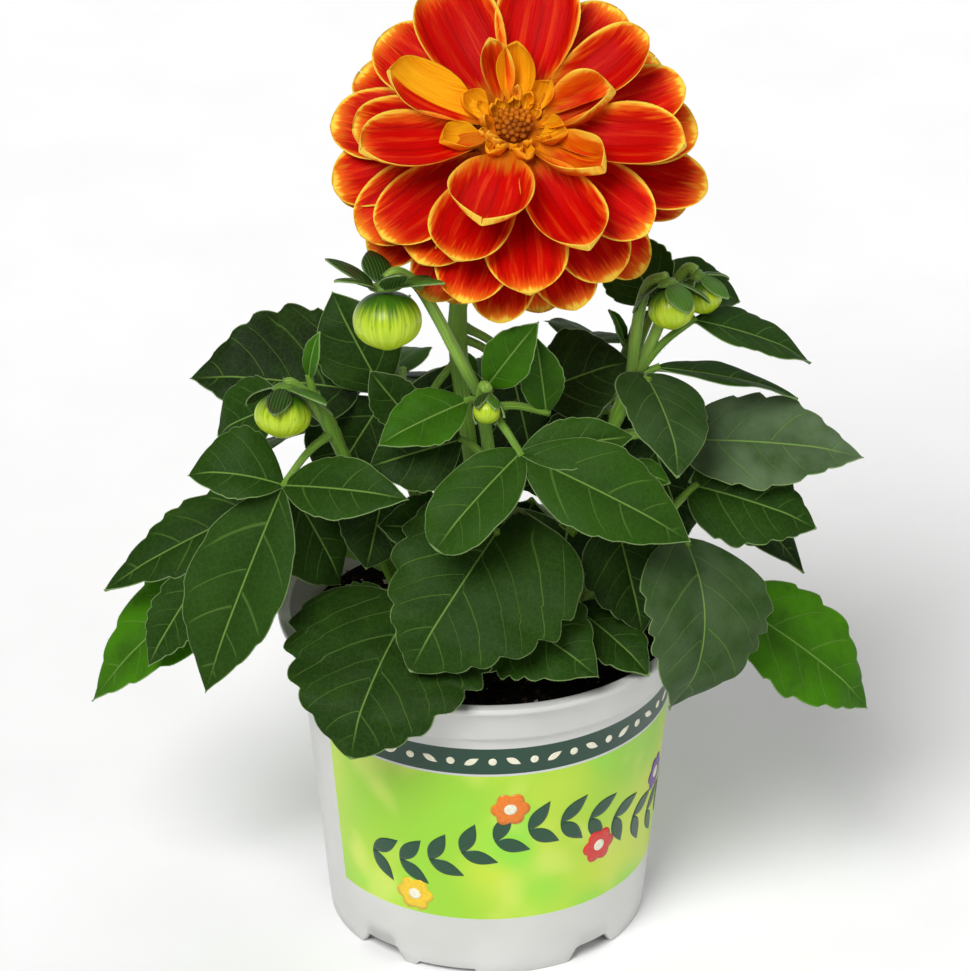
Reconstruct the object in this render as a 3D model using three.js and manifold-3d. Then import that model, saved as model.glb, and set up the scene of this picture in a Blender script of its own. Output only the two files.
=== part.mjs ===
// A dwarf dahlia in its 13 cm nursery pot: one open red and yellow bloom, five buds and nine
// leafy shoots standing in the soil. Millimetres, +Z up, +X to the right of the front and -Y
// towards the front. The origin is on the pot's axis, on the surface that the pot stands on.
import * as THREE from "three";
import { mergeVertices } from "three/addons/utils/BufferGeometryUtils.js";
import Module from "manifold-3d";

const wasm = await Module();
wasm.setup();

// Pot
const POT_HEIGHT = 105;
const POT_RIM_RADIUS = 65;
const POT_LIP_INNER_RADIUS = 61;
const POT_LIP_HEIGHT = 2;
const POT_COLLAR_TOP_RADIUS = 61.8;
const POT_COLLAR_BOTTOM_RADIUS = 60.4;
const POT_COLLAR_DEPTH = 13;
const POT_BODY_TOP_RADIUS = 58.3;
const POT_FOOT_RADIUS = 49;
const POT_WALL = 1.4;
const POT_LIP_SLOPE = 1.5;
const POT_COLLAR_STEP = 1;
const POT_FLOOR_LIFT = 5;
const POT_FOOT_WIDTH = 2.2;
const POT_CENTRE_PAD_RADIUS = 30;
const POT_PAD_SLOPE = 1.5;
const POT_SEGMENTS = 28;
const DRAIN_HOLE_RADIUS = 4.5;
const DRAIN_HOLE_CIRCLE = 38;
const DRAIN_HOLES = 6;
const DRAIN_CUT = 12;
const NOTCH_INSET = 4.2;
const NOTCH_REACH = 6;
const NOTCH_SLOPE = 0.35;
// Notches cut up into the foot ring: angle clockwise from the front in degrees, width and height
const FOOT_NOTCHES = [
  { angle: -105, width: 17, height: 4.7 },
  { angle: -42, width: 15, height: 4.7 },
  { angle: -15, width: 19, height: 1.6 },
  { angle: 42, width: 15, height: 4.7 },
  { angle: 105, width: 17, height: 4.7 },
  { angle: 180, width: 17, height: 4.7 },
];

// Soil
const SOIL_TOP = 95;
const SOIL_CROWN = 97;
const STEM_HOLE_GAP = 0.9;
const FIT_GAP = 0.3;

// Leaves, stems and petals
const LEAF_THICKNESS = 0.8;
const PETAL_THICKNESS = 0.9;
const BLADE_BASE_HALF_WIDTH = 0.5;
const BLADE_TIP_HALF_WIDTH = 0.45;
const BLADE_SINK = 0.6;
const STEM_SIDES = 5;
const STEM_RADIUS = 2.4;
const STEM_TOP_RADIUS = 1.9;
const PETIOLE_SIDES = 3;
const PETIOLE_RADIUS = 1.5;
const PETIOLE_TIP_RADIUS = 1.4;
const PETIOLE_RISE = 0.1;

// Bloom: the centre of its head and the way that it faces, up and towards the front
const BLOOM_CENTRE = [8, 0, 266];
const BLOOM_FACING_UP = 60.5;
const BLOOM_CORE_RADIUS = 12;
const BLOOM_CORE_TOP = 8;
const BLOOM_CORE_TOP_RADIUS = 9.5;
const DISC_RADIUS = 6.5;
const DISC_HEIGHT = 4;
const DISC_FLORETS = 11;
const FLORET_RADIUS = 1.9;
const BLOOM_STALK_RADIUS = 2.6;
const CALYX_DEPTH = 4.5;
const CALYX_RADIUS = 7.5;
const CALYX_BRACTS = 5;
const CALYX_BRACT = { lean: 145, length: 16, width: 8 };
// How much a petal of a full ring leans off and turns from its even place, in degrees
const NEIGHBOUR_LEAN = 3.5;
const PETAL_TURN = 2;

const COLOURS = {
  pot: 0xdcdcda,
  soil: 0x2a1d14,
  leaf: 0x2f5a24,
  petal: 0xd8240f,
  disc: 0xd8921a,
  bud: 0xa9c92a,
};

const vector = (point) => new THREE.Vector3(...point);

// Repeatable draws between -1 and 1
let drawState = 20251;
function draw() {
  drawState = (drawState * 16807) % 2147483647;
  return (drawState / 2147483647) * 2 - 1;
}

// Closed solids and joined solids

function solidOf(positions, indices) {
  return new wasm.Manifold(new wasm.Mesh({
    numProp: 3,
    vertProperties: new Float32Array(positions),
    triVerts: new Uint32Array(indices),
  }));
}

function solidOfGeometry(geometry) {
  geometry.deleteAttribute("normal");
  geometry.deleteAttribute("uv");
  const merged = mergeVertices(geometry, 1e-4);
  return solidOf(merged.attributes.position.array, merged.index.array);
}

function join(solids) {
  return solids.reduce((whole, solid) => whole.add(solid));
}

function meshOf(name, solid, colour, roughness) {
  const { numProp, vertProperties, triVerts } = solid.getMesh();
  const geometry = new THREE.BufferGeometry();
  const positions = new Float32Array((vertProperties.length / numProp) * 3);
  for (let i = 0; i < positions.length / 3; i += 1) {
    positions.set(vertProperties.subarray(i * numProp, i * numProp + 3), i * 3);
  }
  geometry.setAttribute("position", new THREE.BufferAttribute(positions, 3));
  geometry.setIndex(new THREE.BufferAttribute(triVerts, 1));
  geometry.computeVertexNormals();
  const material = new THREE.MeshStandardMaterial({ color: colour, roughness, metalness: 0 });
  const mesh = new THREE.Mesh(geometry, material);
  mesh.name = name;
  return mesh;
}

// A round solid turned about Z from a closed list of [radius, height] corners
function turned(corners, segments) {
  const points = corners.map(([radius, height]) => new THREE.Vector2(radius, height));
  const geometry = new THREE.LatheGeometry(points, segments);
  return solidOfGeometry(geometry.rotateX(Math.PI / 2));
}

// Blades: the outline swells as s^rise (1 - s)^fall from base to tip, teeth cut its edge, and the
// section folds up from the midrib and curls down again, or is cupped like a petal's

const FORMS = {
  leaflet: { rise: 0.85, fall: 0.95, teeth: 0, fold: 0.22, curl: 0.1, rows: 4, columns: 2 },
  heart: { rise: 0.5, fall: 1.0, teeth: 0, fold: 0.2, curl: 0.12, rows: 6, columns: 2 },
  toothed: { rise: 0.6, fall: 0.9, teeth: 4, fold: 0.2, curl: 0.12, rows: 0, columns: 2 },
  broad: { rise: 0.52, fall: 0.8, teeth: 5, fold: 0.14, curl: 0.12, rows: 0, columns: 2 },
  bract: { rise: 0.7, fall: 0.8, teeth: 0, fold: 0.0, curl: 0.25, rows: 2, columns: 2 },
  petal: { rise: 1.0, fall: 0.48, teeth: 0, fold: 0, curl: -0.28, rows: 3, columns: 4 },
  backPetal: { rise: 1.0, fall: 0.48, teeth: 0, fold: 0, curl: -0.2, rows: 3, columns: 2 },
  underPetal: { rise: 1.0, fall: 0.48, teeth: 0, fold: 0, curl: -0.2, rows: 2, columns: 2 },
  curledPetal: { rise: 0.8, fall: 0.5, teeth: 0, fold: 0, curl: -0.5, rows: 2, columns: 2 },
};
const TOOTH_DEPTH = 0.1;
const TOOTH_PEAK = 0.8;

// One blade: its tip, the way it faces, its width, how far it arches as a share of its length, its
// form, and how much wider one half is than the other
const blade = (tip, face, width, arch, form = "leaflet", lop = 0) => (
  { tip, face, width, arch, form, lop }
);

function outlineShare(form, s) {
  const widest = form.rise / (form.rise + form.fall);
  const swell = (at) => at ** form.rise * (1 - at) ** form.fall;
  let share = swell(s) / swell(widest);
  if (form.teeth > 0) {
    const u = (form.teeth * s) % 1;
    const lift = u < TOOTH_PEAK
      ? Math.sin(((Math.PI / 2) * u) / TOOTH_PEAK)
      : Math.cos(((Math.PI / 2) * (u - TOOTH_PEAK)) / (1 - TOOTH_PEAK));
    share *= 1 - TOOTH_DEPTH + TOOTH_DEPTH * lift;
  }
  return share;
}

// Stations from base to tip: at every notch and tooth, or evenly with the widest part kept
function stations(form) {
  const list = [0];
  if (form.teeth > 0) {
    for (let k = 0; k < form.teeth; k += 1) {
      if (k > 0) list.push(k / form.teeth);
      list.push((k + TOOTH_PEAK) / form.teeth);
    }
  } else {
    for (let k = 1; k < form.rows; k += 1) list.push(Math.sin(((Math.PI / 2) * k) / form.rows) ** 1.2);
  }
  list.push(1);
  return list;
}

function bladeSolid(base, one, thickness) {
  const form = FORMS[one.form];
  const start = vector(base);
  const tip = vector(one.tip);
  const chord = tip.clone().sub(start);
  const length = chord.length();
  const along = chord.clone().normalize();
  start.addScaledVector(along, -BLADE_SINK);
  const face = vector(one.face);
  face.addScaledVector(along, -face.dot(along)).normalize();
  const side = along.clone().cross(face);
  const bend = start.clone().add(tip).multiplyScalar(0.5).addScaledVector(face, one.arch * length);
  const rows = stations(form);
  const columns = form.columns + 1;
  const upper = [];
  const lower = [];
  for (const s of rows) {
    const rib = start.clone().multiplyScalar((1 - s) ** 2);
    rib.addScaledVector(bend, 2 * s * (1 - s)).addScaledVector(tip, s * s);
    const run = bend.clone().sub(start).multiplyScalar(1 - s);
    run.addScaledVector(tip.clone().sub(bend), s).normalize();
    const up = side.clone().cross(run);
    const floor = THREE.MathUtils.lerp(BLADE_BASE_HALF_WIDTH, BLADE_TIP_HALF_WIDTH, s);
    const half = Math.max(floor, (one.width / 2) * outlineShare(form, s));
    for (let column = 0; column < columns; column += 1) {
      const t = (2 * column) / form.columns - 1;
      const reach = half * (1 + one.lop * Math.sign(t));
      const height = reach * (form.fold * Math.abs(t) - form.curl * t * t);
      const point = rib.clone().addScaledVector(side, t * reach).addScaledVector(up, height);
      upper.push(...point.clone().addScaledVector(up, thickness / 2).toArray());
      lower.push(...point.clone().addScaledVector(up, -thickness / 2).toArray());
    }
  }
  return solidOf([...upper, ...lower], bladeTriangles(rows.length, columns));
}

function bladeTriangles(rows, columns) {
  const under = rows * columns;
  const at = (row, column) => row * columns + column;
  const list = [];
  const quad = (a, b, c, d) => list.push(a, b, c, a, c, d);
  for (let row = 0; row < rows - 1; row += 1) {
    for (let column = 0; column < columns - 1; column += 1) {
      const [a, b] = [at(row, column), at(row, column + 1)];
      const [c, d] = [at(row + 1, column + 1), at(row + 1, column)];
      quad(a, b, c, d);
      list.push(under + a, under + c, under + b, under + a, under + d, under + c);
    }
    const [left, leftNext] = [at(row, 0), at(row + 1, 0)];
    quad(left, leftNext, under + leftNext, under + left);
    const [right, rightNext] = [at(row, columns - 1), at(row + 1, columns - 1)];
    quad(right, under + right, under + rightNext, rightNext);
  }
  for (let column = 0; column < columns - 1; column += 1) {
    const [a, b] = [at(0, column), at(0, column + 1)];
    quad(a, under + a, under + b, b);
    const [c, d] = [at(rows - 1, column), at(rows - 1, column + 1)];
    quad(c, d, under + d, under + c);
  }
  return list;
}

// A stem or stalk: a tapering round solid along a smooth curve through its points
function stalkSolid(points, startRadius, endRadius, sides, steps) {
  const curve = new THREE.CatmullRomCurve3(points.map(vector), false, "catmullrom", 0.5);
  const reference = crossReference(points);
  const positions = [];
  for (let step = 0; step <= steps; step += 1) {
    const s = step / steps;
    const centre = curve.getPoint(s);
    const run = curve.getTangent(s);
    const across = reference.clone().cross(run).normalize();
    const upward = run.clone().cross(across);
    const radius = THREE.MathUtils.lerp(startRadius, endRadius, s);
    for (let k = 0; k < sides; k += 1) {
      const angle = (2 * Math.PI * k) / sides;
      const corner = centre.clone().addScaledVector(across, radius * Math.cos(angle));
      positions.push(...corner.addScaledVector(upward, radius * Math.sin(angle)).toArray());
    }
  }
  positions.push(...curve.getPoint(0).toArray(), ...curve.getPoint(1).toArray());
  const [startCap, endCap] = [(steps + 1) * sides, (steps + 1) * sides + 1];
  const list = [];
  for (let k = 0; k < sides; k += 1) {
    const next = (k + 1) % sides;
    for (let step = 0; step < steps; step += 1) {
      const [a, b] = [step * sides + k, step * sides + next];
      list.push(a, b, b + sides, a, b + sides, a + sides);
    }
    list.push(startCap, next, k, endCap, steps * sides + k, steps * sides + next);
  }
  return solidOf(positions, list);
}

// The world axis that lies most across a run of points
function crossReference(points) {
  const chord = vector(points.at(-1)).sub(vector(points[0]));
  const sizes = chord.toArray().map(Math.abs);
  const least = sizes.indexOf(Math.min(...sizes));
  return new THREE.Vector3().setComponent(least, 1);
}

function pointOnStem(points, s) {
  const curve = new THREE.CatmullRomCurve3(points.map(vector), false, "catmullrom", 0.5);
  return curve.getPoint(s).toArray();
}

function petioleSolid(from, to) {
  const start = vector(from);
  const end = vector(to);
  const reach = end.clone().sub(start);
  const middle = start.clone().add(end).multiplyScalar(0.5);
  middle.z += PETIOLE_RISE * reach.length();
  end.addScaledVector(reach.normalize(), PETIOLE_TIP_RADIUS);
  const points = [start.toArray(), middle.toArray(), end.toArray()];
  return stalkSolid(points, PETIOLE_RADIUS, PETIOLE_TIP_RADIUS, PETIOLE_SIDES, 2);
}

// Pot and soil

const COLLAR_BOTTOM = POT_HEIGHT - POT_COLLAR_DEPTH;
const FLOOR_TOP = POT_FLOOR_LIFT + POT_WALL;
const bodyRadius = (z) => (
  THREE.MathUtils.lerp(POT_FOOT_RADIUS, POT_BODY_TOP_RADIUS, z / (COLLAR_BOTTOM - POT_COLLAR_STEP))
);
const wallInside = (z) => bodyRadius(z) - POT_WALL;

function potSolid() {
  const shell = turned([
    [0, 0],
    [POT_CENTRE_PAD_RADIUS, 0],
    [POT_CENTRE_PAD_RADIUS + POT_PAD_SLOPE, POT_FLOOR_LIFT],
    [POT_FOOT_RADIUS - POT_FOOT_WIDTH, POT_FLOOR_LIFT],
    [POT_FOOT_RADIUS - POT_FOOT_WIDTH, 0],
    [POT_FOOT_RADIUS, 0],
    [POT_BODY_TOP_RADIUS, COLLAR_BOTTOM - POT_COLLAR_STEP],
    [POT_COLLAR_BOTTOM_RADIUS, COLLAR_BOTTOM],
    [POT_COLLAR_TOP_RADIUS, POT_HEIGHT - POT_LIP_HEIGHT - POT_LIP_SLOPE],
    [POT_RIM_RADIUS, POT_HEIGHT - POT_LIP_HEIGHT],
    [POT_RIM_RADIUS, POT_HEIGHT],
    [POT_LIP_INNER_RADIUS, POT_HEIGHT],
    [POT_COLLAR_BOTTOM_RADIUS - POT_WALL, COLLAR_BOTTOM + POT_WALL],
    [wallInside(COLLAR_BOTTOM), COLLAR_BOTTOM],
    [wallInside(FLOOR_TOP), FLOOR_TOP],
    [POT_CENTRE_PAD_RADIUS, FLOOR_TOP],
    [POT_CENTRE_PAD_RADIUS - POT_WALL, POT_WALL],
    [0, POT_WALL],
  ], POT_SEGMENTS);
  const holes = evenly(DRAIN_HOLES, 180 / DRAIN_HOLES).map((angle) => {
    const cutter = new THREE.CylinderGeometry(DRAIN_HOLE_RADIUS, DRAIN_HOLE_RADIUS, DRAIN_CUT, 6);
    cutter.rotateX(Math.PI / 2);
    cutter.translate(0, -DRAIN_HOLE_CIRCLE, DRAIN_CUT / 2);
    return solidOfGeometry(cutter.rotateZ(THREE.MathUtils.degToRad(angle)));
  });
  const notches = FOOT_NOTCHES.map(({ angle, width, height }) => {
    const outline = new THREE.Shape();
    const slope = NOTCH_SLOPE * height;
    outline.moveTo(-width / 2 - slope, -height);
    outline.lineTo(width / 2 + slope, -height);
    outline.lineTo(width / 2 - slope, height);
    outline.lineTo(-width / 2 + slope, height);
    const cutter = new THREE.ExtrudeGeometry(outline, { depth: NOTCH_REACH, bevelEnabled: false });
    cutter.rotateX(Math.PI / 2);
    cutter.translate(0, NOTCH_INSET - POT_FOOT_RADIUS, 0);
    return solidOfGeometry(cutter.rotateZ(THREE.MathUtils.degToRad(angle)));
  });
  return shell.subtract(join([...holes, ...notches]));
}

// The soil fills the pot to a finger's width below the rim, with a hole for each stem
function soilSolid(stemHoles) {
  const top = POT_COLLAR_BOTTOM_RADIUS - POT_WALL - FIT_GAP;
  const fill = turned([
    [0, POT_WALL + FIT_GAP],
    [POT_CENTRE_PAD_RADIUS - POT_WALL - FIT_GAP, POT_WALL + FIT_GAP],
    [POT_CENTRE_PAD_RADIUS - FIT_GAP, FLOOR_TOP + FIT_GAP],
    [wallInside(FLOOR_TOP) - FIT_GAP, FLOOR_TOP + FIT_GAP],
    [wallInside(COLLAR_BOTTOM) - FIT_GAP, COLLAR_BOTTOM + FIT_GAP],
    [top, COLLAR_BOTTOM + POT_WALL + FIT_GAP],
    [top, SOIL_TOP],
    [0, SOIL_CROWN],
  ], POT_SEGMENTS);
  return fill.subtract(join(stemHoles));
}

// The hole follows the foot of its stem, a little wider and deeper
function stemHoleSolid(stem) {
  const surface = 1 / (stem.length - 1);
  const [foot, middle, top] = [0, surface / 2, surface].map((s) => pointOnStem(stem, s));
  const run = vector(middle).sub(vector(foot)).normalize();
  const bottom = vector(foot).addScaledVector(run, -STEM_HOLE_GAP).toArray();
  const radius = STEM_RADIUS + STEM_HOLE_GAP;
  return stalkSolid([bottom, middle, top], radius, radius, STEM_SIDES, 2);
}

// Bloom: rings of ray petals on a small core, with curled petals round a disc of florets

const bloomPitch = THREE.MathUtils.degToRad(BLOOM_FACING_UP);
const BLOOM_AXIS = new THREE.Vector3(0, -Math.cos(bloomPitch), Math.sin(bloomPitch));
const BLOOM_UP = new THREE.Vector3(0, Math.sin(bloomPitch), Math.cos(bloomPitch));
const BLOOM_RIGHT = new THREE.Vector3(1, 0, 0);

// Point at an angle clockwise from the top of the bloom, a distance out and a height along its axis
function bloomPoint(angle, out, height) {
  const turn = THREE.MathUtils.degToRad(angle);
  const radial = BLOOM_RIGHT.clone().multiplyScalar(Math.sin(turn));
  radial.addScaledVector(BLOOM_UP, Math.cos(turn));
  return vector(BLOOM_CENTRE).addScaledVector(radial, out).addScaledVector(BLOOM_AXIS, height);
}

// Petals are given by the angle clockwise from the top, the lean away from the axis, the length and
// the width; the petals of a ring grow from the same distance out and height on the head.
const ray = (angle, lean, length, width) => ({ angle, lean, length, width });
const PETAL_RINGS = [
  { out: 8, height: 8, arch: -0.04, form: "petal",
    petals: [ray(13, 75, 43, 26), ray(58, 75, 42, 21), ray(105, 75, 47, 22), ray(156, 80, 46, 23),
      ray(192, 68, 40, 25), ray(249, 70, 44, 22), ray(283, 62, 36, 18), ray(330, 75, 43, 27)] },
  { out: 9, height: 4, arch: 0.02, form: "backPetal",
    petals: [ray(-8, 84, 43, 24), ray(37, 84, 44, 24), ray(74, 87, 45, 24), ray(132, 88, 45, 24),
      ray(172, 91, 47, 26), ray(206, 83, 42, 26), ray(228, 90, 44, 24), ray(268, 84, 40, 24),
      ray(309, 86, 43, 26)] },
  { out: 9, height: 0, arch: 0.05, form: "backPetal",
    petals: [ray(14, 96, 46, 26), ray(52, 97, 46, 26), ray(84, 94, 47, 26), ray(103, 100, 51, 24),
      ray(146, 100, 45, 25), ray(191, 98, 47, 26), ray(214, 94, 42, 24), ray(238, 98, 46, 26),
      ray(259, 102, 47, 26), ray(280, 98, 47, 26), ray(304, 101, 48, 26), ray(340, 97, 46, 26)] },
  { out: 9, height: -3, arch: 0.06, form: "underPetal", petals: ringOf(10, 4, ray(0, 112, 46, 28)) },
  { out: 8, height: -6, arch: 0.08, form: "underPetal", petals: ringOf(6, 8, ray(0, 130, 40, 28)) },
];
const HEART_PETALS = [
  ray(-18, 42, 22, 9), ray(3, 40, 20, 13), ray(42, 46, 11, 8), ray(75, 62, 25, 17),
  ray(132, 62, 31, 14), ray(165, 42, 11, 8), ray(210, 40, 9, 7), ray(255, 62, 16, 11),
  ray(295, 46, 12, 8),
];
const HEART = { out: 9, height: 7.4, arch: -0.12, form: "curledPetal" };

function evenly(count, first) {
  return Array.from({ length: count }, (_, k) => first + (360 * k) / count);
}

// A full ring of like petals whose neighbours lean less and more in turn and lie over each other
function ringOf(count, first, petal) {
  return evenly(count, first).map((angle, k) => ({
    ...petal,
    angle: angle + PETAL_TURN * draw(),
    lean: petal.lean + (k % 2 === 0 ? -NEIGHBOUR_LEAN : NEIGHBOUR_LEAN),
  }));
}

function petalSolid(petal, ring, thickness = PETAL_THICKNESS) {
  const { angle, lean, length, width } = petal;
  const base = bloomPoint(angle, ring.out, ring.height);
  const tilt = THREE.MathUtils.degToRad(lean);
  const out = ring.out + length * Math.sin(tilt);
  const tip = bloomPoint(angle, out, ring.height + length * Math.cos(tilt));
  const face = bloomPoint(angle, -Math.cos(tilt), Math.sin(tilt)).sub(vector(BLOOM_CENTRE));
  const one = blade(tip.toArray(), face.toArray(), width, ring.arch, ring.form);
  return bladeSolid(base.toArray(), one, thickness);
}

function bloomRaysSolid() {
  const core = turned([
    [0, -BLOOM_CORE_RADIUS],
    [BLOOM_CORE_RADIUS * 0.75, -BLOOM_CORE_RADIUS * 0.85],
    [BLOOM_CORE_RADIUS, -2],
    [BLOOM_CORE_RADIUS, 4],
    [BLOOM_CORE_TOP_RADIUS, BLOOM_CORE_TOP],
    [0, BLOOM_CORE_TOP],
  ], 10);
  const petals = PETAL_RINGS.flatMap((ring) => ring.petals.map((petal) => petalSolid(petal, ring)));
  const hearts = HEART_PETALS.map((petal) => petalSolid(petal, HEART));
  return join([onBloomAxis(core, 0), ...petals, ...hearts]);
}

// Turns a solid from +Z onto the bloom's axis, lifted along it
function onBloomAxis(solid, lift) {
  const matrix = new THREE.Matrix4().makeBasis(BLOOM_RIGHT, BLOOM_UP, BLOOM_AXIS);
  matrix.setPosition(vector(BLOOM_CENTRE).addScaledVector(BLOOM_AXIS, lift));
  return solid.transform(matrix.toArray());
}

function bloomDiscSolid() {
  const dome = turned([
    [0, 0],
    [DISC_RADIUS - 1.2, 0],
    [DISC_RADIUS - 0.8, DISC_HEIGHT * 0.4],
    [DISC_RADIUS * 0.55, DISC_HEIGHT * 0.85],
    [0, DISC_HEIGHT],
  ], 8);
  const florets = Array.from({ length: DISC_FLORETS }, (_, k) => {
    const share = (k + 0.5) / DISC_FLORETS;
    const angle = k * THREE.MathUtils.degToRad(137.5);
    const radius = (DISC_RADIUS - FLORET_RADIUS + 0.2) * Math.sqrt(share);
    const height = DISC_HEIGHT * (1 - 0.4 * share);
    const bead = new THREE.OctahedronGeometry(FLORET_RADIUS, 0);
    return solidOfGeometry(bead.translate(radius * Math.cos(angle), radius * Math.sin(angle), height));
  });
  return onBloomAxis(join([dome, ...florets]), BLOOM_CORE_TOP + FIT_GAP);
}

// Buds: a lobed ball hanging from a green cup, with bracts that turn round its axis and lean
// away from the way that the bud points

const BUD_LOBES = 6;
const BUD_LOBE_DEPTH = 0.04;
const BUD_TO_CUP = 0.8;
const BUD_CUP_DEPTH = 2.4;
const BUD_CUP_SHARE = 0.5;
const BUD_CUP_FOOT_RADIUS = 2;
const BRACT_ARCH = 0.2;
const BRACT_SINK = 1.2;
const BUDS = {
  bud_front_left: { centre: [-30, -38, 226], radius: 10.6, height: 17, points: [0.05, -0.3, -1] },
  bud_left: { centre: [-62, -27, 187], radius: 8.8, height: 13, points: [-0.1, -0.45, -1] },
  bud_front: { centre: [0, -37, 194], radius: 4.2, height: 7.5, points: [0, -0.8, -0.5] },
  bud_right: { centre: [56, -9, 214], radius: 7.2, height: 12, points: [0.15, -0.4, -1] },
  bud_far_right: { centre: [66, 4, 211], radius: 5.8, height: 10, points: [0.3, -0.2, -1] },
};

function budFrame(bud) {
  const axis = vector(bud.points).normalize();
  const right = new THREE.Vector3(0, 0, 1).cross(axis).normalize();
  if (right.lengthSq() < 0.5) right.set(1, 0, 0);
  return { axis, right, front: axis.clone().cross(right) };
}

// A point given by its turn about the bud's axis, its distance from the axis and its place along it
function budPoint(bud, turn, out, along) {
  const { axis, right, front } = budFrame(bud);
  const angle = THREE.MathUtils.degToRad(turn);
  return vector(bud.centre)
    .addScaledVector(right, out * Math.cos(angle))
    .addScaledVector(front, out * Math.sin(angle))
    .addScaledVector(axis, along);
}

function budBallSolid(bud) {
  const ball = new THREE.SphereGeometry(1, 2 * BUD_LOBES, 5).rotateX(Math.PI / 2);
  const places = ball.attributes.position;
  for (let i = 0; i < places.count; i += 1) {
    const turn = Math.atan2(places.getY(i), places.getX(i));
    const lobe = 1 + BUD_LOBE_DEPTH * Math.cos(BUD_LOBES * turn);
    const out = Math.hypot(places.getX(i), places.getY(i)) * bud.radius * lobe;
    const along = (places.getZ(i) * bud.height) / 2;
    places.setXYZ(i, ...budPoint(bud, THREE.MathUtils.radToDeg(turn), out, along).toArray());
  }
  return solidOfGeometry(ball);
}

// The green cup that a bud hangs from, and the bracts round it
function budCupSolids(bud, bracts) {
  const top = -bud.height / 2 - BUD_TO_CUP;
  const cupRadius = bud.radius * BUD_CUP_SHARE;
  const start = budPoint(bud, 0, 0, top).toArray();
  const end = budPoint(bud, 0, 0, top - BUD_CUP_DEPTH).toArray();
  const cup = stalkSolid([start, end], cupRadius, BUD_CUP_FOOT_RADIUS, 6, 1);
  const blades = bracts.map(({ turn, lean, length, width }) => {
    const tilt = THREE.MathUtils.degToRad(lean);
    const out = cupRadius - BRACT_SINK;
    const along = top - LEAF_THICKNESS;
    const base = budPoint(bud, turn, out, along);
    const tip = budPoint(bud, turn, out + length * Math.sin(tilt), along + length * Math.cos(tilt));
    const away = budPoint(bud, turn, Math.cos(tilt), -Math.sin(tilt)).sub(vector(bud.centre));
    const one = blade(tip.toArray(), away.toArray(), width, BRACT_ARCH, "bract");
    return bladeSolid(base.toArray(), one, LEAF_THICKNESS);
  });
  return [cup, ...blades];
}

// Shoots: a stem, its side stalks, and leaves that leave it a share of the way up. A leaf has one
// blade or several leaflets from one joint; a blade has its tip, the way it faces, width and arch.

const leaf = (at, joint, ...blades) => ({ at, joint, blades });
const bract = (turn, lean, length, width) => ({ turn, lean, length, width });

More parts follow.
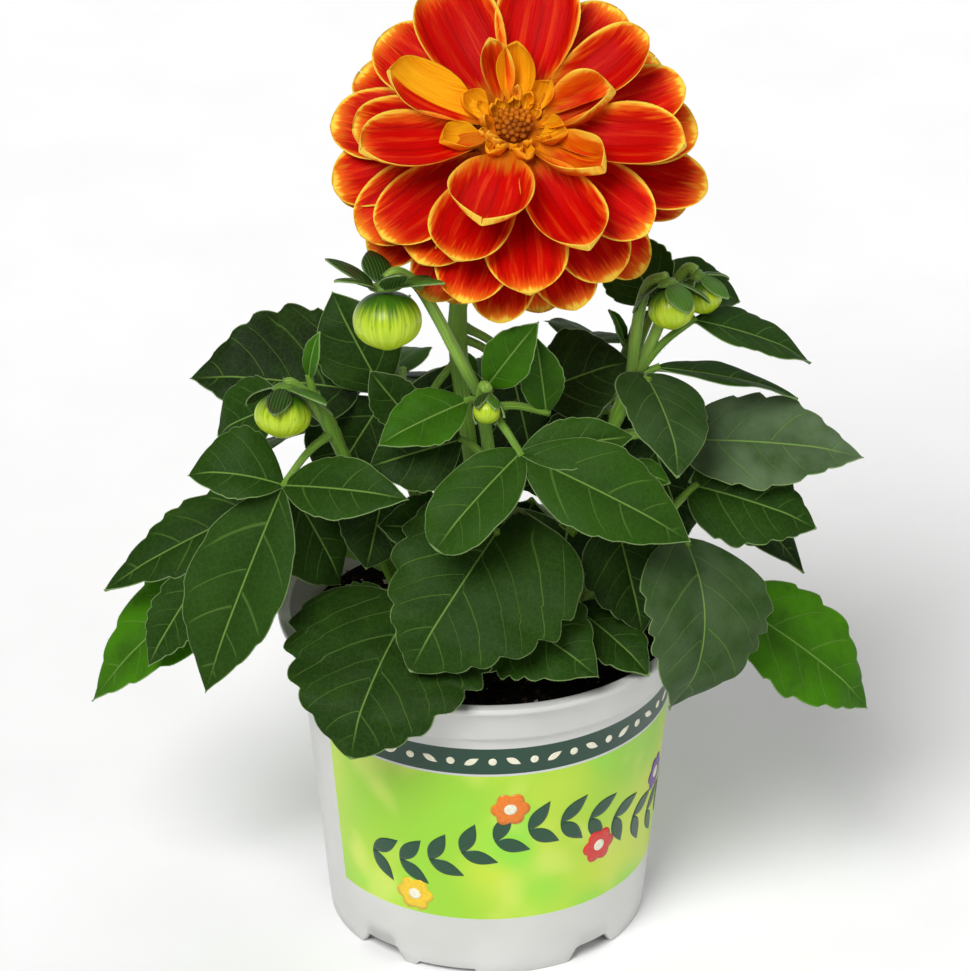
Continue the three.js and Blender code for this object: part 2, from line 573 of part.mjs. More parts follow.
const SHOOTS = {
  bloom_shoot: {
    stem: [[3, 4, 84], [2, 3, 106], [-4, 0, 150], [-9, -2, 205], [-3, 3, 236], [7, 8, 252]],
    leaves: [
      leaf(0.55, [-22, 2, 167], blade([-36, 6, 184], [-0.2, -0.8, 0.6], 16, 0.08)),
      leaf(0.6, [16, 7, 176], blade([44, 8, 187], [0.1, -0.6, 0.8], 32, 0.08)),
    ],
  },
  front_shoot: {
    stem: [[6, -16, 84], [5, -17, 106], [3, -23, 150], [-2, -28, 196]],
    stalks: [
      [[-2, -28, 194], [-9, -29, 209], [-15, -29, 222], [-21, -29, 233], [-27, -32, 239],
        [-30.5, -34.5, 238]],
      [[-2, -28, 193], [-1, -31, 199], [0, -34, 200]],
    ],
    buds: {
      bud_front_left: [bract(-150, 118, 17, 9), bract(-95, 116, 17, 9), bract(-15, 96, 11, 8),
        bract(35, 97, 16, 9), bract(85, 115, 17, 9), bract(150, 108, 16, 9)],
      bud_front: [bract(-130, 50, 7, 5), bract(-50, 50, 7, 5), bract(30, 50, 7, 5),
        bract(120, 55, 8, 5)],
    },
    leaves: [
      leaf(0.97, [-6, -31, 194], blade([-33, -45, 187], [-0.1, -0.6, 0.8], 20, 0.06)),
      leaf(0.98, [0, -27, 197], blade([15, -33, 222], [-0.3, -0.9, 0.3], 16, 0.05)),
      leaf(0.95, [18, -24, 186], blade([15, -24, 212], [0.1, -0.9, 0.4], 14, 0.04)),
      leaf(0.96, [10, -42, 182],
        blade([-13, -62, 160], [-0.3, -0.75, 0.6], 20, 0.1),
        blade([62, -58, 161], [0.2, -0.7, 0.7], 31, 0.06),
        blade([45, -36, 185], [0, -0.7, 0.7], 17, 0.04)),
      leaf(0.8, [-8, -30, 180], blade([-36, -36, 174], [-0.1, -0.8, 0.5], 26, 0.08)),
      leaf(0.62, [3, -38, 152], blade([-23, -68, 121], [-0.1, -0.75, 0.66], 55, 0.1, "broad", 0.18)),
      leaf(0.4, [2, -38, 126], blade([34, -62, 116], [-0.1, -0.6, 0.8], 38, 0.1, "toothed")),
    ],
  },
  left_low_shoot: {
    stem: [[-10, -16, 84], [-13, -19, 106], [-22, -30, 121]],
    leaves: [
      leaf(1.0, [-25, -38, 122], blade([-43, -74, 94], [-0.2, -0.5, 0.8], 68, 0.16, "broad")),
      leaf(0.9, [-31, -25, 119], blade([-52, -26, 115], [0, -0.4, 0.9], 20, 0.1, "toothed")),
      leaf(0.8, [-10, -28, 147], blade([-33, -35, 153], [0, -0.8, 0.6], 24, 0.06, "toothed")),
    ],
  },
  left_shoot: {
    stem: [[-20, -4, 84], [-25, -5, 106], [-38, -12, 148], [-47, -18, 176], [-53, -20, 190]],
    stalks: [
      [[-47, -18, 176], [-53, -20, 188], [-59, -22, 195], [-61.5, -23, 195.5]],
    ],
    buds: {
      bud_left: [bract(-150, 60, 14, 8), bract(-80, 60, 14, 8), bract(-20, 60, 14, 9),
        bract(35, 80, 16, 8), bract(90, 50, 12, 8)],
    },
    leaves: [
      leaf(0.75, [-62, -30, 164],
        blade([-92, -26, 166], [0, -0.6, 0.8], 24, 0.28, "leaflet", 0.3),
        blade([-24, -50, 171], [0.1, -0.7, 0.7], 21, 0.1),
        blade([-87, -50, 102], [-0.3, -0.8, 0.5], 33, 0.05, "leaflet", 0.1)),
      leaf(0.8, [-62, -8, 180], blade([-84, 0, 165], [-0.3, -0.5, 0.8], 28, 0.1)),
      leaf(0.45, [-65, -5, 145], blade([-119, -10, 116], [-0.3, -0.5, 0.8], 27, 0.07, "toothed")),
      leaf(0.35, [-72, 0, 124], blade([-124, -12, 77], [-0.4, -0.6, 0.7], 34, 0.12, "toothed")),
      leaf(0.4, [-88, -20, 126], blade([-105, -27, 98], [-0.3, -0.7, 0.6], 19, 0.06, "toothed")),
      leaf(0.55, [-60, -22, 158], blade([-44, -22, 124], [0.5, -0.8, 0.3], 22, 0.08, "leaflet", 0.3)),
      leaf(1, [-54, -20, 196], blade([-51, -22, 213], [-0.6, -0.7, 0.2], 7, 0.1)),
    ],
  },
  back_left_shoot: {
    stem: [[-12, 14, 84], [-15, 16, 106], [-26, 20, 150], [-30, 22, 188]],
    leaves: [
      leaf(0.8, [-42, 16, 172], blade([-92, 18, 176], [-0.1, -0.6, 0.8], 42, 0.08, "toothed", 0.25)),
      leaf(0.9, [-32, 8, 176], blade([-48, 20, 204], [-0.2, -0.9, 0.4], 28, 0.06)),
      leaf(0.7, [-32, 13, 170], blade([-50, 8, 140], [-0.2, -0.9, 0.4], 36, 0.05)),
      leaf(0.6, [-40, 34, 150], blade([-78, 50, 128], [-0.4, 0.5, 0.8], 38, 0.12, "toothed")),
      leaf(0.7, [-26, 40, 165], blade([-40, 74, 150], [-0.2, 0.6, 0.8], 32, 0.12)),
    ],
  },
  right_shoot: {
    stem: [[16, 3, 84], [19, 2, 106], [34, -3, 155], [45, -5, 190]],
    stalks: [
      [[44, -5, 187], [46, -3, 207], [49, -3, 219], [54.6, -5.4, 223]],
      [[45, -5, 187], [51, -1, 200], [57, 6, 213], [61, 7, 219], [63.8, 5.6, 219]],
    ],
    buds: {
      bud_right: [bract(-140, 52, 13, 9), bract(-70, 50, 13, 9), bract(0, 52, 13, 9),
        bract(80, 42, 12, 9)],
      bud_far_right: [bract(-160, 55, 10, 7), bract(-75, 78, 16, 7), bract(10, 60, 12, 7),
        bract(90, 44, 11, 7)],
    },
    leaves: [
      leaf(0.97, [49, -9, 189], blade([59, -38, 172], [0.5, -0.6, 0.6], 32, 0.14, "heart")),
      leaf(0.95, [52, -3, 190], blade([96, 5, 176], [0.1, 0.1, 1], 18, 0.06)),
      leaf(0.95, [63, 0, 205], blade([100, 4, 189], [0.2, -0.1, 1], 22, 0.08)),
      leaf(0.75, [62, 0, 163], blade([116, -5, 161], [0.1, -0.5, 0.85], 35, 0.08, "toothed")),
      leaf(0.9, [52, 14, 203], blade([40, 26, 221], [-0.2, -0.8, 0.5], 24, 0.04)),
      leaf(0.7, [42, -26, 168], blade([56, -30, 165], [0.1, -0.7, 0.7], 10, 0.08)),
    ],
  },
  right_low_shoot: {
    stem: [[19, -13, 84], [23, -14, 106], [42, -18, 130], [54, -20, 144]],
    leaves: [
      leaf(0.95, [64, -11, 153], blade([102, -15, 141], [0.1, -0.6, 0.8], 34, 0.1, "toothed")),
      leaf(0.98, [61, -30, 143], blade([57, -55, 97], [0.6, -0.65, 0.45], 50, 0.45, "toothed")),
      leaf(0.7, [78, -14, 112], blade([120, -10, 73], [0.3, -0.6, 0.7], 36, 0.12, "toothed")),
      leaf(0.5, [28, -30, 120], blade([50, -48, 108], [0.1, -0.5, 0.9], 24, 0.1, "toothed")),
    ],
  },
  back_right_shoot: {
    stem: [[18, 17, 84], [20, 19, 106], [34, 28, 150], [44, 31, 178]],
    leaves: [
      leaf(0.98, [52, 28, 206], blade([79, 38, 191], [0.1, -0.5, 0.8], 18, 0.1)),
      leaf(0.6, [60, 34, 136], blade([100, 18, 106], [0.4, -0.4, 0.8], 28, 0.12, "toothed")),
      leaf(0.7, [50, 44, 150], blade([82, 62, 130], [0.4, 0.4, 0.8], 34, 0.12, "toothed")),
      leaf(0.9, [30, 44, 172], blade([34, 74, 160], [0.2, 0.5, 0.8], 30, 0.12)),
      leaf(0.8, [40, 22, 158], blade([54, 16, 110], [0.1, -0.9, 0.4], 46, 0.06, "toothed")),
      leaf(0.4, [14, 16, 132], blade([2, 14, 98], [0.1, -0.9, 0.3], 34, 0.04)),
    ],
  },
  back_shoot: {
    stem: [[2, 20, 84], [2, 24, 106], [-2, 38, 145], [-2, 42, 158]],
    leaves: [
      leaf(0.98, [-8, 50, 156], blade([-24, 84, 138], [-0.2, 0.6, 0.8], 34, 0.12, "toothed")),
      leaf(0.95, [8, 52, 156], blade([24, 86, 138], [0.3, 0.5, 0.8], 34, 0.12, "toothed")),
      leaf(0.6, [-6, 50, 130], blade([-10, 84, 104], [0, 0.6, 0.8], 40, 0.14, "broad")),
      leaf(0.5, [22, 44, 124], blade([54, 74, 104], [0.4, 0.5, 0.8], 36, 0.14, "toothed")),
    ],
  },
};

function shootSolid(name, shoot) {
  const top = name === "bloom_shoot" ? BLOOM_STALK_RADIUS : STEM_TOP_RADIUS;
  const pieces = [stalkSolid(shoot.stem, STEM_RADIUS, top, STEM_SIDES, shoot.stem.length + 1)];
  for (const points of shoot.stalks ?? []) {
    pieces.push(stalkSolid(points, STEM_TOP_RADIUS, STEM_TOP_RADIUS - 0.2, STEM_SIDES, points.length));
  }
  for (const { at, joint, blades } of shoot.leaves) {
    pieces.push(petioleSolid(pointOnStem(shoot.stem, at), joint));
    for (const one of blades) pieces.push(bladeSolid(joint, one, LEAF_THICKNESS));
  }
  for (const [bud, bracts] of Object.entries(shoot.buds ?? {})) {
    pieces.push(...budCupSolids(BUDS[bud], bracts));
  }
  if (name === "bloom_shoot") pieces.push(...bloomCalyxSolids());
  return join(pieces);
}

// The green cup under the bloom, with its ring of turned-down bracts
function bloomCalyxSolids() {
  const top = -BLOOM_CORE_RADIUS - FIT_GAP;
  const cup = onBloomAxis(turned([
    [0, top - CALYX_DEPTH],
    [BLOOM_STALK_RADIUS, top - CALYX_DEPTH],
    [CALYX_RADIUS, top],
    [0, top],
  ], 10), 0);
  const ring = { out: CALYX_RADIUS - 2, height: top - 1.6, arch: 0.08, form: "bract" };
  const bracts = evenly(CALYX_BRACTS, 30).map((angle) => (
    petalSolid({ ...CALYX_BRACT, angle }, ring, LEAF_THICKNESS)
  ));
  return [cup, ...bracts];
}

const stemHoles = Object.values(SHOOTS).map((shoot) => stemHoleSolid(shoot.stem));
const group = new THREE.Group();
group.add(meshOf("pot", potSolid(), COLOURS.pot, 0.35));
group.add(meshOf("soil", soilSolid(stemHoles), COLOURS.soil, 0.95));
group.add(meshOf("bloom_rays", bloomRaysSolid(), COLOURS.petal, 0.55));
group.add(meshOf("bloom_disc", bloomDiscSolid(), COLOURS.disc, 0.6));
for (const [name, shoot] of Object.entries(SHOOTS)) {
  group.add(meshOf(name, shootSolid(name, shoot), COLOURS.leaf, 0.5));
}
for (const [name, bud] of Object.entries(BUDS)) {
  group.add(meshOf(name, budBallSolid(bud), COLOURS.bud, 0.45));
}

export default group;
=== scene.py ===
# A potted dwarf dahlia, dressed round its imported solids: bloom, buds, leafy shoots, soil and pot.
# The tables below are in millimetres, and MM turns them into the scene's metres.
import math

import bpy
import numpy as np
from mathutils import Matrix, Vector, noise


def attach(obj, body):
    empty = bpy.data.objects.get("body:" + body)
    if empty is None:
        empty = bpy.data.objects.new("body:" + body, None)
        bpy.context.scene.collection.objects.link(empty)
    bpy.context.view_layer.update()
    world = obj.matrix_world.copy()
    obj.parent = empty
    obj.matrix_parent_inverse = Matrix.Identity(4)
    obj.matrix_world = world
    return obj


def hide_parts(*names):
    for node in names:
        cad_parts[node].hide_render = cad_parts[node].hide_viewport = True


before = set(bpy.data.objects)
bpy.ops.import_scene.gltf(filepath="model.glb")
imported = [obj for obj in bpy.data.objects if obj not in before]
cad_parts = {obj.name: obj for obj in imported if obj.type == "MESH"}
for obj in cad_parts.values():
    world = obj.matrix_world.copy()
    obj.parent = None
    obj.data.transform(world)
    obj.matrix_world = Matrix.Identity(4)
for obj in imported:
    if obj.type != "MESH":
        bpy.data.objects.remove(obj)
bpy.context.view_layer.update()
MM = .001

# The photograph's view, found from the pot's rim and foot
VIEW_TARGET = (-.6, 0.0, 147.0)
VIEW_DISTANCE = 3000.0
VIEW_ELEVATION = 29.6
FOCAL_PIXELS = 9740.0
IMAGE_HEIGHT = 971
SENSOR_WIDTH = 36.0

# Each lamp: where its light comes from, its strength and how wide its source looks, in degrees
LAMPS = [
    ("key_light", (-.5, -1.0, 1.3), 2.7, 30),
    ("fill_light", (1.2, -1.0, .8), .45, 60),
    ("back_light", (.7, 1.0, 1.5), .6, 40),
]
SKY_STRENGTH = .19
FLOOR_REACH = 6.0

# Pot
POT_HEIGHT = 105.0
POT_RIM_RADIUS = 65.0
POT_LIP_INNER_RADIUS = 61.0
POT_LIP_HEIGHT = 2.0
POT_LIP_SLOPE = 1.5
POT_COLLAR_TOP_RADIUS = 61.8
POT_COLLAR_BOTTOM_RADIUS = 60.4
POT_COLLAR_BOTTOM = 92.0
POT_COLLAR_STEP = 1.0
POT_BODY_TOP_RADIUS = 58.3
POT_FOOT_RADIUS = 49.0
POT_FOOT_WIDTH = 2.2
POT_WALL = 1.4
POT_FLOOR_LIFT = 5.0
POT_PAD_RADIUS = 30.0
POT_PAD_SLOPE = 1.5
POT_SIDES = 240
DRAIN_HOLES = 6
DRAIN_HOLE_RADIUS = 4.5
DRAIN_HOLE_CIRCLE = 38.0
# Notches in the foot: angle from the front in degrees, width and height
FOOT_NOTCHES = [(-105, 17, 4.7), (-42, 15, 4.7), (-15, 19, 1.6), (42, 15, 4.7), (105, 17, 4.7),
                (180, 17, 4.7)]

# The print runs round the pot from here to here, in degrees from the front
PRINT_START = -59.0
PRINT_END = 239.0

# Soil
SOIL_RADIUS = 57.0
SOIL_FOOT_RADIUS = 54.6
SOIL_TOP = 95.0
SOIL_CROWN = 1.6
SOIL_DEPTH = 20.0
CRUMB_COUNT = 1500
PALE_GRAINS = .04

# Leaves, stems and petals
LEAF_THICKNESS = .7
PETAL_THICKNESS = .7
BLADE_SINK = .6
HAIR_RADIUS = .04
STEM_HAIR = .8
MARGIN_HAIR = .55
STEM_HAIRS = 320
STALK_HAIRS = 160
PETIOLE_HAIRS = 70
STEM_RADIUS = 2.4
STEM_TOP_RADIUS = 1.9
BLOOM_STALK_RADIUS = 2.6
PETIOLE_RADIUS = 1.45
PETIOLE_TIP_RADIUS = 1.1
PETIOLE_RISE = .1

# Bloom
BLOOM_CENTRE = np.array((8.0, 0.0, 266.0))
BLOOM_FACING_UP = math.radians(60.5)
BLOOM_AXIS = np.array((0, -math.cos(BLOOM_FACING_UP), math.sin(BLOOM_FACING_UP)))
BLOOM_UP = np.array((0, math.sin(BLOOM_FACING_UP), math.cos(BLOOM_FACING_UP)))
BLOOM_RIGHT = np.array((1.0, 0, 0))
BLOOM_CORE_RADIUS = 12.0
BLOOM_CORE_TOP = 8.0
DISC_FLORETS = 38
FLORET_TURN = 137.5
NEIGHBOUR_LEAN = 3.5
PETAL_TURN = 2.0
CALYX_DEPTH = 4.5
CALYX_RADIUS = 7.5

FORM_VALUES = ("teeth", "depth", "fold", "curl", "veins", "lobe", "roll", "twist")


def form(rise, fall, rows, **own):
    """A blade form with this many rows of points; what it doesn't name is 0."""
    return {**dict.fromkeys(FORM_VALUES, 0), "rise": rise, "fall": fall, "rows": rows, **own}


# Blade forms: the outline swells as s^rise (1 - s)^fall, with teeth of a depth, a folded or cupped
# section and a foot swept back into lobes; veins is the number of side veins, roll the rolled margin
FORMS = {
    "leaflet": form(.95, 1.1, 40, teeth=6, depth=.06, fold=.22, curl=.1, veins=4.6),
    "oval": form(.6, .5, 40, teeth=4, depth=.04, fold=.2, curl=.1, veins=4.6),
    "heart": form(.5, 1.0, 46, teeth=5, depth=.04, fold=.2, curl=.12, veins=5, lobe=.1),
    "toothed": form(.65, 1.1, 60, teeth=7, depth=.12, fold=.2, curl=.12, veins=5, lobe=.05),
    "broad": form(.36, .84, 76, teeth=7, depth=.14, fold=.12, curl=.12, veins=5.6, lobe=.2),
    "bract": form(.7, .8, 14, curl=.25),
    "petal": form(.95, .5, 34, curl=-.24, roll=.1, twist=.08),
    "backPetal": form(.95, .5, 32, curl=-.12, roll=.05, twist=.05),
    "underPetal": form(.95, .5, 24, curl=-.12, roll=.04, twist=.05),
    "curledPetal": form(.7, .4, 22, curl=-.62, roll=.14, twist=.4),
}
TOOTH_PEAK = .8
# Places of the columns across half a blade, closer at the midrib and at the margin
LEAF_COLUMNS = (0, .05, .14, .28, .43, .58, .72, .84, .93, .98, 1)
PETAL_COLUMNS = (0, .14, .28, .42, .56, .69, .8, .89, .96, 1)
BRACT_COLUMNS = (0, .25, .5, .75, .92, 1)


def ray(angle, lean, length, width):
    """A petal: its angle clockwise from the bloom's top, its lean off the axis, length and width."""
    return dict(angle=angle, lean=lean, length=length, width=width)


def blade(tip, face, width, arch, form="leaflet", lop=0.0):
    """A blade: its tip, the way it faces, its width, how far it arches, its form and its lop side."""
    return dict(tip=tip, face=face, width=width, arch=arch, form=form, lop=lop)


def leaf(at, joint, *blades, tint=0.0, down=0.0):
    """A leaf: where it leaves its stem, where its stalk ends, its blades, its tone with painted light and
    shade, and its painted grey sheen.
    """
    return dict(at=at, joint=joint, blades=blades, tint=tint, down=down)


def tip_leaves(x, y, z):
    """The pair of young leaves that closes the tip of a shoot without a bud."""
    return [leaf(.99, (x + 1.5 * side, y, z + 2),
                 blade((x + 6 * side, y + 2, z + 13), (-.8 * side, -.5, .3), 6, .14), tint=.5)
            for side in (-1, 1)]


def bract(turn, lean, length, width):
    """A bract: its turn about the bud's axis, its lean, length and width."""
    return dict(turn=turn, lean=lean, length=length, width=width)


BUDS = {
    "bud_front_left": dict(centre=(-30, -38, 226), radius=10.6, height=17, points=(.05, -.3, -1)),
    "bud_left": dict(centre=(-62, -27, 187), radius=8.8, height=13, points=(-.1, -.45, -1)),
    "bud_front": dict(centre=(0, -37, 194), radius=4.2, height=7.5, points=(0, -.8, -.5)),
    "bud_right": dict(centre=(56, -9, 214), radius=7.2, height=12, points=(.15, -.4, -1)),
    "bud_far_right": dict(centre=(66, 4, 211), radius=5.8, height=10, points=(.3, -.2, -1)),
}

SHOOTS = {}


def shoot(name, stem, *leaves, stalks=(), buds=None):
    """Enters a shoot: its stem's points, its leaves, side stalks, and the bracts round its buds."""
    SHOOTS[name] = dict(stem=stem, leaves=leaves, stalks=stalks, buds=buds or {})


# Leaf tints are partly each leaf's own tone and partly painted light and shade: below 0 darkens leaves set
# deep in the plant, above 0 brightens some front leaves; a few leaves also carry a painted grey sheen
shoot(
    "bloom_shoot", [(3, 4, 84), (2, 3, 106), (-4, 0, 150), (-9, -2, 205), (-3, 3, 236), (7, 8, 252)],
    leaf(.55, (-22, 2, 167), blade((-36, 6, 184), (-.2, -.8, .6), 16, .08)),
    leaf(.6, (16, 7, 176), blade((44, 8, 187), (.1, -.6, .8), 32, .08), tint=-.6),
    leaf(.66, (-8, 8, 186), blade((-15, 4, 147), (0, -.9, .35), 34, .05), tint=-.8),
    leaf(.58, (8, 6, 182), blade((17, 2, 140), (.1, -.9, .35), 36, .05, "toothed"), tint=-.9),
    leaf(.35, (5, 2, 138), blade((14, -10, 110), (.1, -.8, .5), 34, .06), tint=-.7),
)
shoot(
    "front_shoot", [(6, -16, 84), (5, -17, 106), (3, -23, 150), (-2, -28, 196)],
    leaf(.97, (-6, -31, 194), blade((-33, -45, 187), (-.1, -.6, .8), 20, .06), tint=.55),
    leaf(.98, (0, -27, 197), blade((15, -33, 222), (-.3, -.9, .3), 16, .05), tint=.6),
    leaf(.95, (18, -24, 186), blade((15, -24, 212), (.1, -.9, .4), 14, .04), tint=.45),
    leaf(.96, (10, -42, 182), blade((-16, -62, 160), (-.3, -.75, .6), 24, .1, "oval"),
         blade((62, -58, 161), (.2, -.7, .7), 31, .06),
         blade((45, -36, 185), (0, -.7, .7), 17, .04), tint=.25),
    leaf(.8, (-8, -30, 180), blade((-36, -36, 174), (-.1, -.8, .5), 26, .08), tint=-.5),
    leaf(.62, (3, -38, 152), blade((-24, -68, 121), (-.1, -.75, .66), 60, .1, "broad", -.16),
         tint=-.25),
    leaf(.4, (2, -38, 126), blade((34, -62, 116), (-.1, -.6, .8), 38, .1, "toothed"), tint=.1),
    stalks=[
        [(-2, -28, 194), (-9, -29, 209), (-15, -29, 222), (-21, -29, 233), (-27, -32, 239),
         (-30.5, -34.5, 238)],
        [(-2, -28, 193), (-1, -31, 199), (0, -34, 200)],
    ],
    buds={
        "bud_front_left": [bract(-150, 118, 17, 9), bract(-95, 116, 17, 9), bract(-15, 96, 11, 8),
            bract(35, 97, 16, 9), bract(85, 115, 17, 9), bract(150, 108, 16, 9)],
        "bud_front": [bract(-130, 30, 9, 5.5), bract(-60, 26, 9, 5.5), bract(0, 30, 9, 5.5),
            bract(60, 30, 9, 5.5), bract(120, 34, 9, 5)],
    },
)
shoot(
    "left_low_shoot", [(-10, -16, 84), (-13, -19, 106), (-22, -30, 121)],
    leaf(1.0, (-25, -38, 122), blade((-43, -74, 94), (-.2, -.5, .8), 68, .16, "broad"), tint=-.4),
    leaf(.9, (-31, -25, 119), blade((-52, -26, 115), (0, -.4, .9), 20, .1, "toothed")),
    leaf(.8, (-10, -28, 147), blade((-33, -35, 153), (0, -.8, .6), 24, .06, "toothed")),
)
shoot(
    "left_shoot", [(-20, -4, 84), (-25, -5, 106), (-38, -12, 148), (-47, -18, 176), (-53, -20, 190)],
    leaf(.75, (-62, -30, 164), blade((-92, -26, 166), (0, -.6, .8), 24, .28, "leaflet", .3),
         blade((-24, -50, 171), (.1, -.7, .7), 21, .1),
         blade((-87, -50, 102), (-.3, -.8, .5), 33, .05, "leaflet", .1), tint=.1),
    leaf(.8, (-62, -8, 180), blade((-84, 0, 165), (-.3, -.5, .8), 28, .1)),
    leaf(.45, (-65, -5, 145), blade((-119, -10, 116), (-.3, -.5, .8), 27, .07, "toothed"),
         tint=-.3),
    leaf(.35, (-72, 0, 124), blade((-124, -12, 77), (-.4, -.6, .7), 34, .12, "toothed"), tint=.9),
    leaf(.4, (-88, -20, 126), blade((-105, -27, 98), (-.3, -.7, .6), 19, .06, "toothed")),
    leaf(.55, (-60, -22, 158), blade((-44, -22, 124), (.5, -.8, .3), 24, .08, "leaflet", .3),
         tint=-.3),
    leaf(.5, (-31, -20, 160), blade((-37, -30, 134), (.1, -.85, .5), 24, .06), tint=-.6),
    leaf(1, (-54, -20, 196), blade((-51, -22, 213), (-.6, -.7, .2), 7, .1), tint=.8),
    stalks=[
        [(-47, -18, 176), (-53, -20, 188), (-59, -22, 195), (-61.5, -23, 195.5)],
    ],
    buds={
        "bud_left": [bract(-150, 60, 14, 8), bract(-80, 60, 14, 8), bract(-20, 60, 14, 9),
            bract(35, 80, 16, 8), bract(90, 50, 12, 8)],
    },
)
shoot(
    "back_left_shoot", [(-12, 14, 84), (-15, 16, 106), (-26, 20, 150), (-30, 22, 188)],
    leaf(.8, (-42, 16, 172), blade((-92, 18, 176), (-.1, -.6, .8), 42, .08, "toothed", .25),
         tint=-.8),
    leaf(.9, (-32, 8, 176), blade((-48, 20, 204), (-.2, -.9, .4), 28, .06), tint=-.4),
    leaf(.7, (-32, 13, 170), blade((-50, 8, 140), (-.2, -.9, .4), 36, .05), tint=-.6),
    leaf(.6, (-40, 34, 150), blade((-78, 50, 128), (-.4, .5, .8), 38, .12, "toothed")),
    leaf(.7, (-26, 40, 165), blade((-40, 74, 150), (-.2, .6, .8), 32, .12), tint=.3),
    *tip_leaves(-30, 22, 188),
)
shoot(
    "right_shoot", [(16, 3, 84), (19, 2, 106), (34, -3, 155), (45, -5, 190)],
    leaf(.97, (49, -9, 189), blade((59, -38, 172), (.5, -.6, .6), 32, .14, "heart"), tint=0.0,
         down=.3),
    leaf(.95, (52, -3, 190), blade((96, 5, 176), (.1, .1, 1), 18, .06)),
    leaf(.95, (63, 0, 205), blade((100, 4, 189), (.2, -.1, 1), 22, .08)),
    leaf(.75, (62, 0, 163), blade((116, -5, 161), (.1, -.5, .85), 35, .08, "toothed"), tint=-.2,
         down=.75),
    leaf(.9, (52, 14, 203), blade((40, 26, 221), (-.2, -.8, .5), 24, .04)),
    leaf(.7, (42, -26, 168), blade((56, -30, 165), (.1, -.7, .7), 10, .08), tint=.6),
    leaf(.45, (36, 4, 140), blade((44, -6, 110), (.1, -.8, .55), 30, .06, "toothed"), tint=-.8),
    leaf(.75, (50, 6, 162), blade((62, 0, 127), (0, -.85, .5), 32, .06, "toothed"), tint=-.8),
    leaf(.85, (36, 2, 172), blade((22, -2, 150), (0, -.85, .5), 26, .06), tint=-.7),
    stalks=[
        [(44, -5, 187), (46, -3, 207), (49, -3, 219), (54.6, -5.4, 223)],
        [(45, -5, 187), (51, -1, 200), (57, 6, 213), (61, 7, 219), (63.8, 5.6, 219)],
    ],
    buds={
        "bud_right": [bract(-140, 52, 13, 9), bract(-70, 50, 13, 9), bract(0, 52, 13, 9),
            bract(80, 42, 12, 9)],
        "bud_far_right": [bract(-160, 55, 10, 7), bract(-75, 78, 16, 7), bract(10, 60, 12, 7),
            bract(90, 44, 11, 7)],
    },
)
shoot(
    "right_low_shoot", [(19, -13, 84), (23, -14, 106), (42, -18, 130), (54, -20, 144)],
    leaf(.95, (64, -11, 153), blade((102, -15, 141), (.1, -.6, .8), 34, .1, "toothed")),
    leaf(.98, (61, -30, 143), blade((57, -55, 97), (.6, -.65, .45), 50, .45, "toothed"),
         tint=-.1, down=.45),
    leaf(.7, (78, -14, 112), blade((120, -10, 73), (.3, -.6, .7), 36, .12, "toothed"), tint=.85),
    leaf(.5, (28, -30, 120), blade((50, -48, 108), (.1, -.5, .9), 24, .1, "toothed")),
    leaf(.8, (40, -24, 146), blade((48, -38, 116), (.1, -.8, .55), 30, .06, "toothed"), tint=-.5),
    leaf(.6, (42, -8, 130), blade((50, -6, 100), (.1, -.8, .5), 32, .06, "toothed"), tint=-.4),
)
shoot(
    "back_right_shoot", [(18, 17, 84), (20, 19, 106), (34, 28, 150), (44, 31, 178)],
    leaf(.98, (52, 28, 206), blade((79, 38, 191), (.1, -.5, .8), 18, .1)),
    leaf(.6, (60, 34, 136), blade((100, 18, 106), (.4, -.4, .8), 28, .12, "toothed"), tint=-.8),
    leaf(.7, (50, 44, 150), blade((82, 62, 130), (.4, .4, .8), 34, .12, "toothed"), tint=.2),
    leaf(.9, (30, 44, 172), blade((34, 74, 160), (.2, .5, .8), 30, .12)),
    leaf(.8, (40, 22, 158), blade((54, 16, 110), (.1, -.9, .4), 46, .06, "toothed"), tint=-.8),
    leaf(.4, (14, 16, 132), blade((2, 14, 98), (.1, -.9, .3), 34, .04), tint=-.8),
    *tip_leaves(44, 31, 178),
)
shoot(
    "back_shoot", [(2, 20, 84), (2, 24, 106), (-2, 38, 145), (-2, 42, 158)],
    leaf(.98, (-8, 50, 156), blade((-24, 84, 138), (-.2, .6, .8), 34, .12, "toothed")),
    leaf(.95, (8, 52, 156), blade((24, 86, 138), (.3, .5, .8), 34, .12, "toothed"), tint=.2),
    leaf(.6, (-6, 50, 130), blade((-10, 84, 104), (0, .6, .8), 40, .14, "broad"), tint=.4),
    leaf(.5, (22, 44, 124), blade((54, 74, 104), (.4, .5, .8), 36, .14, "toothed"), tint=-.2),
    *tip_leaves(-2, 42, 158),
)

# Repeatable draws

_draw = {"state": 20251}


def draw():
    """A repeatable number from -1 to 1."""
    _draw["state"] = (_draw["state"] * 16807) % 2147483647
    return _draw["state"] / 2147483647 * 2 - 1


def evenly(count, first):
    """Angles spread evenly round a circle, in degrees."""
    return [first + 360 * k / count for k in range(count)]


def ring_of(count, first, petal):
    """A full ring of like petals whose neighbours lean less and more in turn."""
    ring = []
    for k, angle in enumerate(evenly(count, first)):
        lean = petal["lean"] + (-NEIGHBOUR_LEAN if k % 2 == 0 else NEIGHBOUR_LEAN)
        ring.append(ray(angle + PETAL_TURN * draw(), lean, petal["length"], petal["width"]))
    return ring


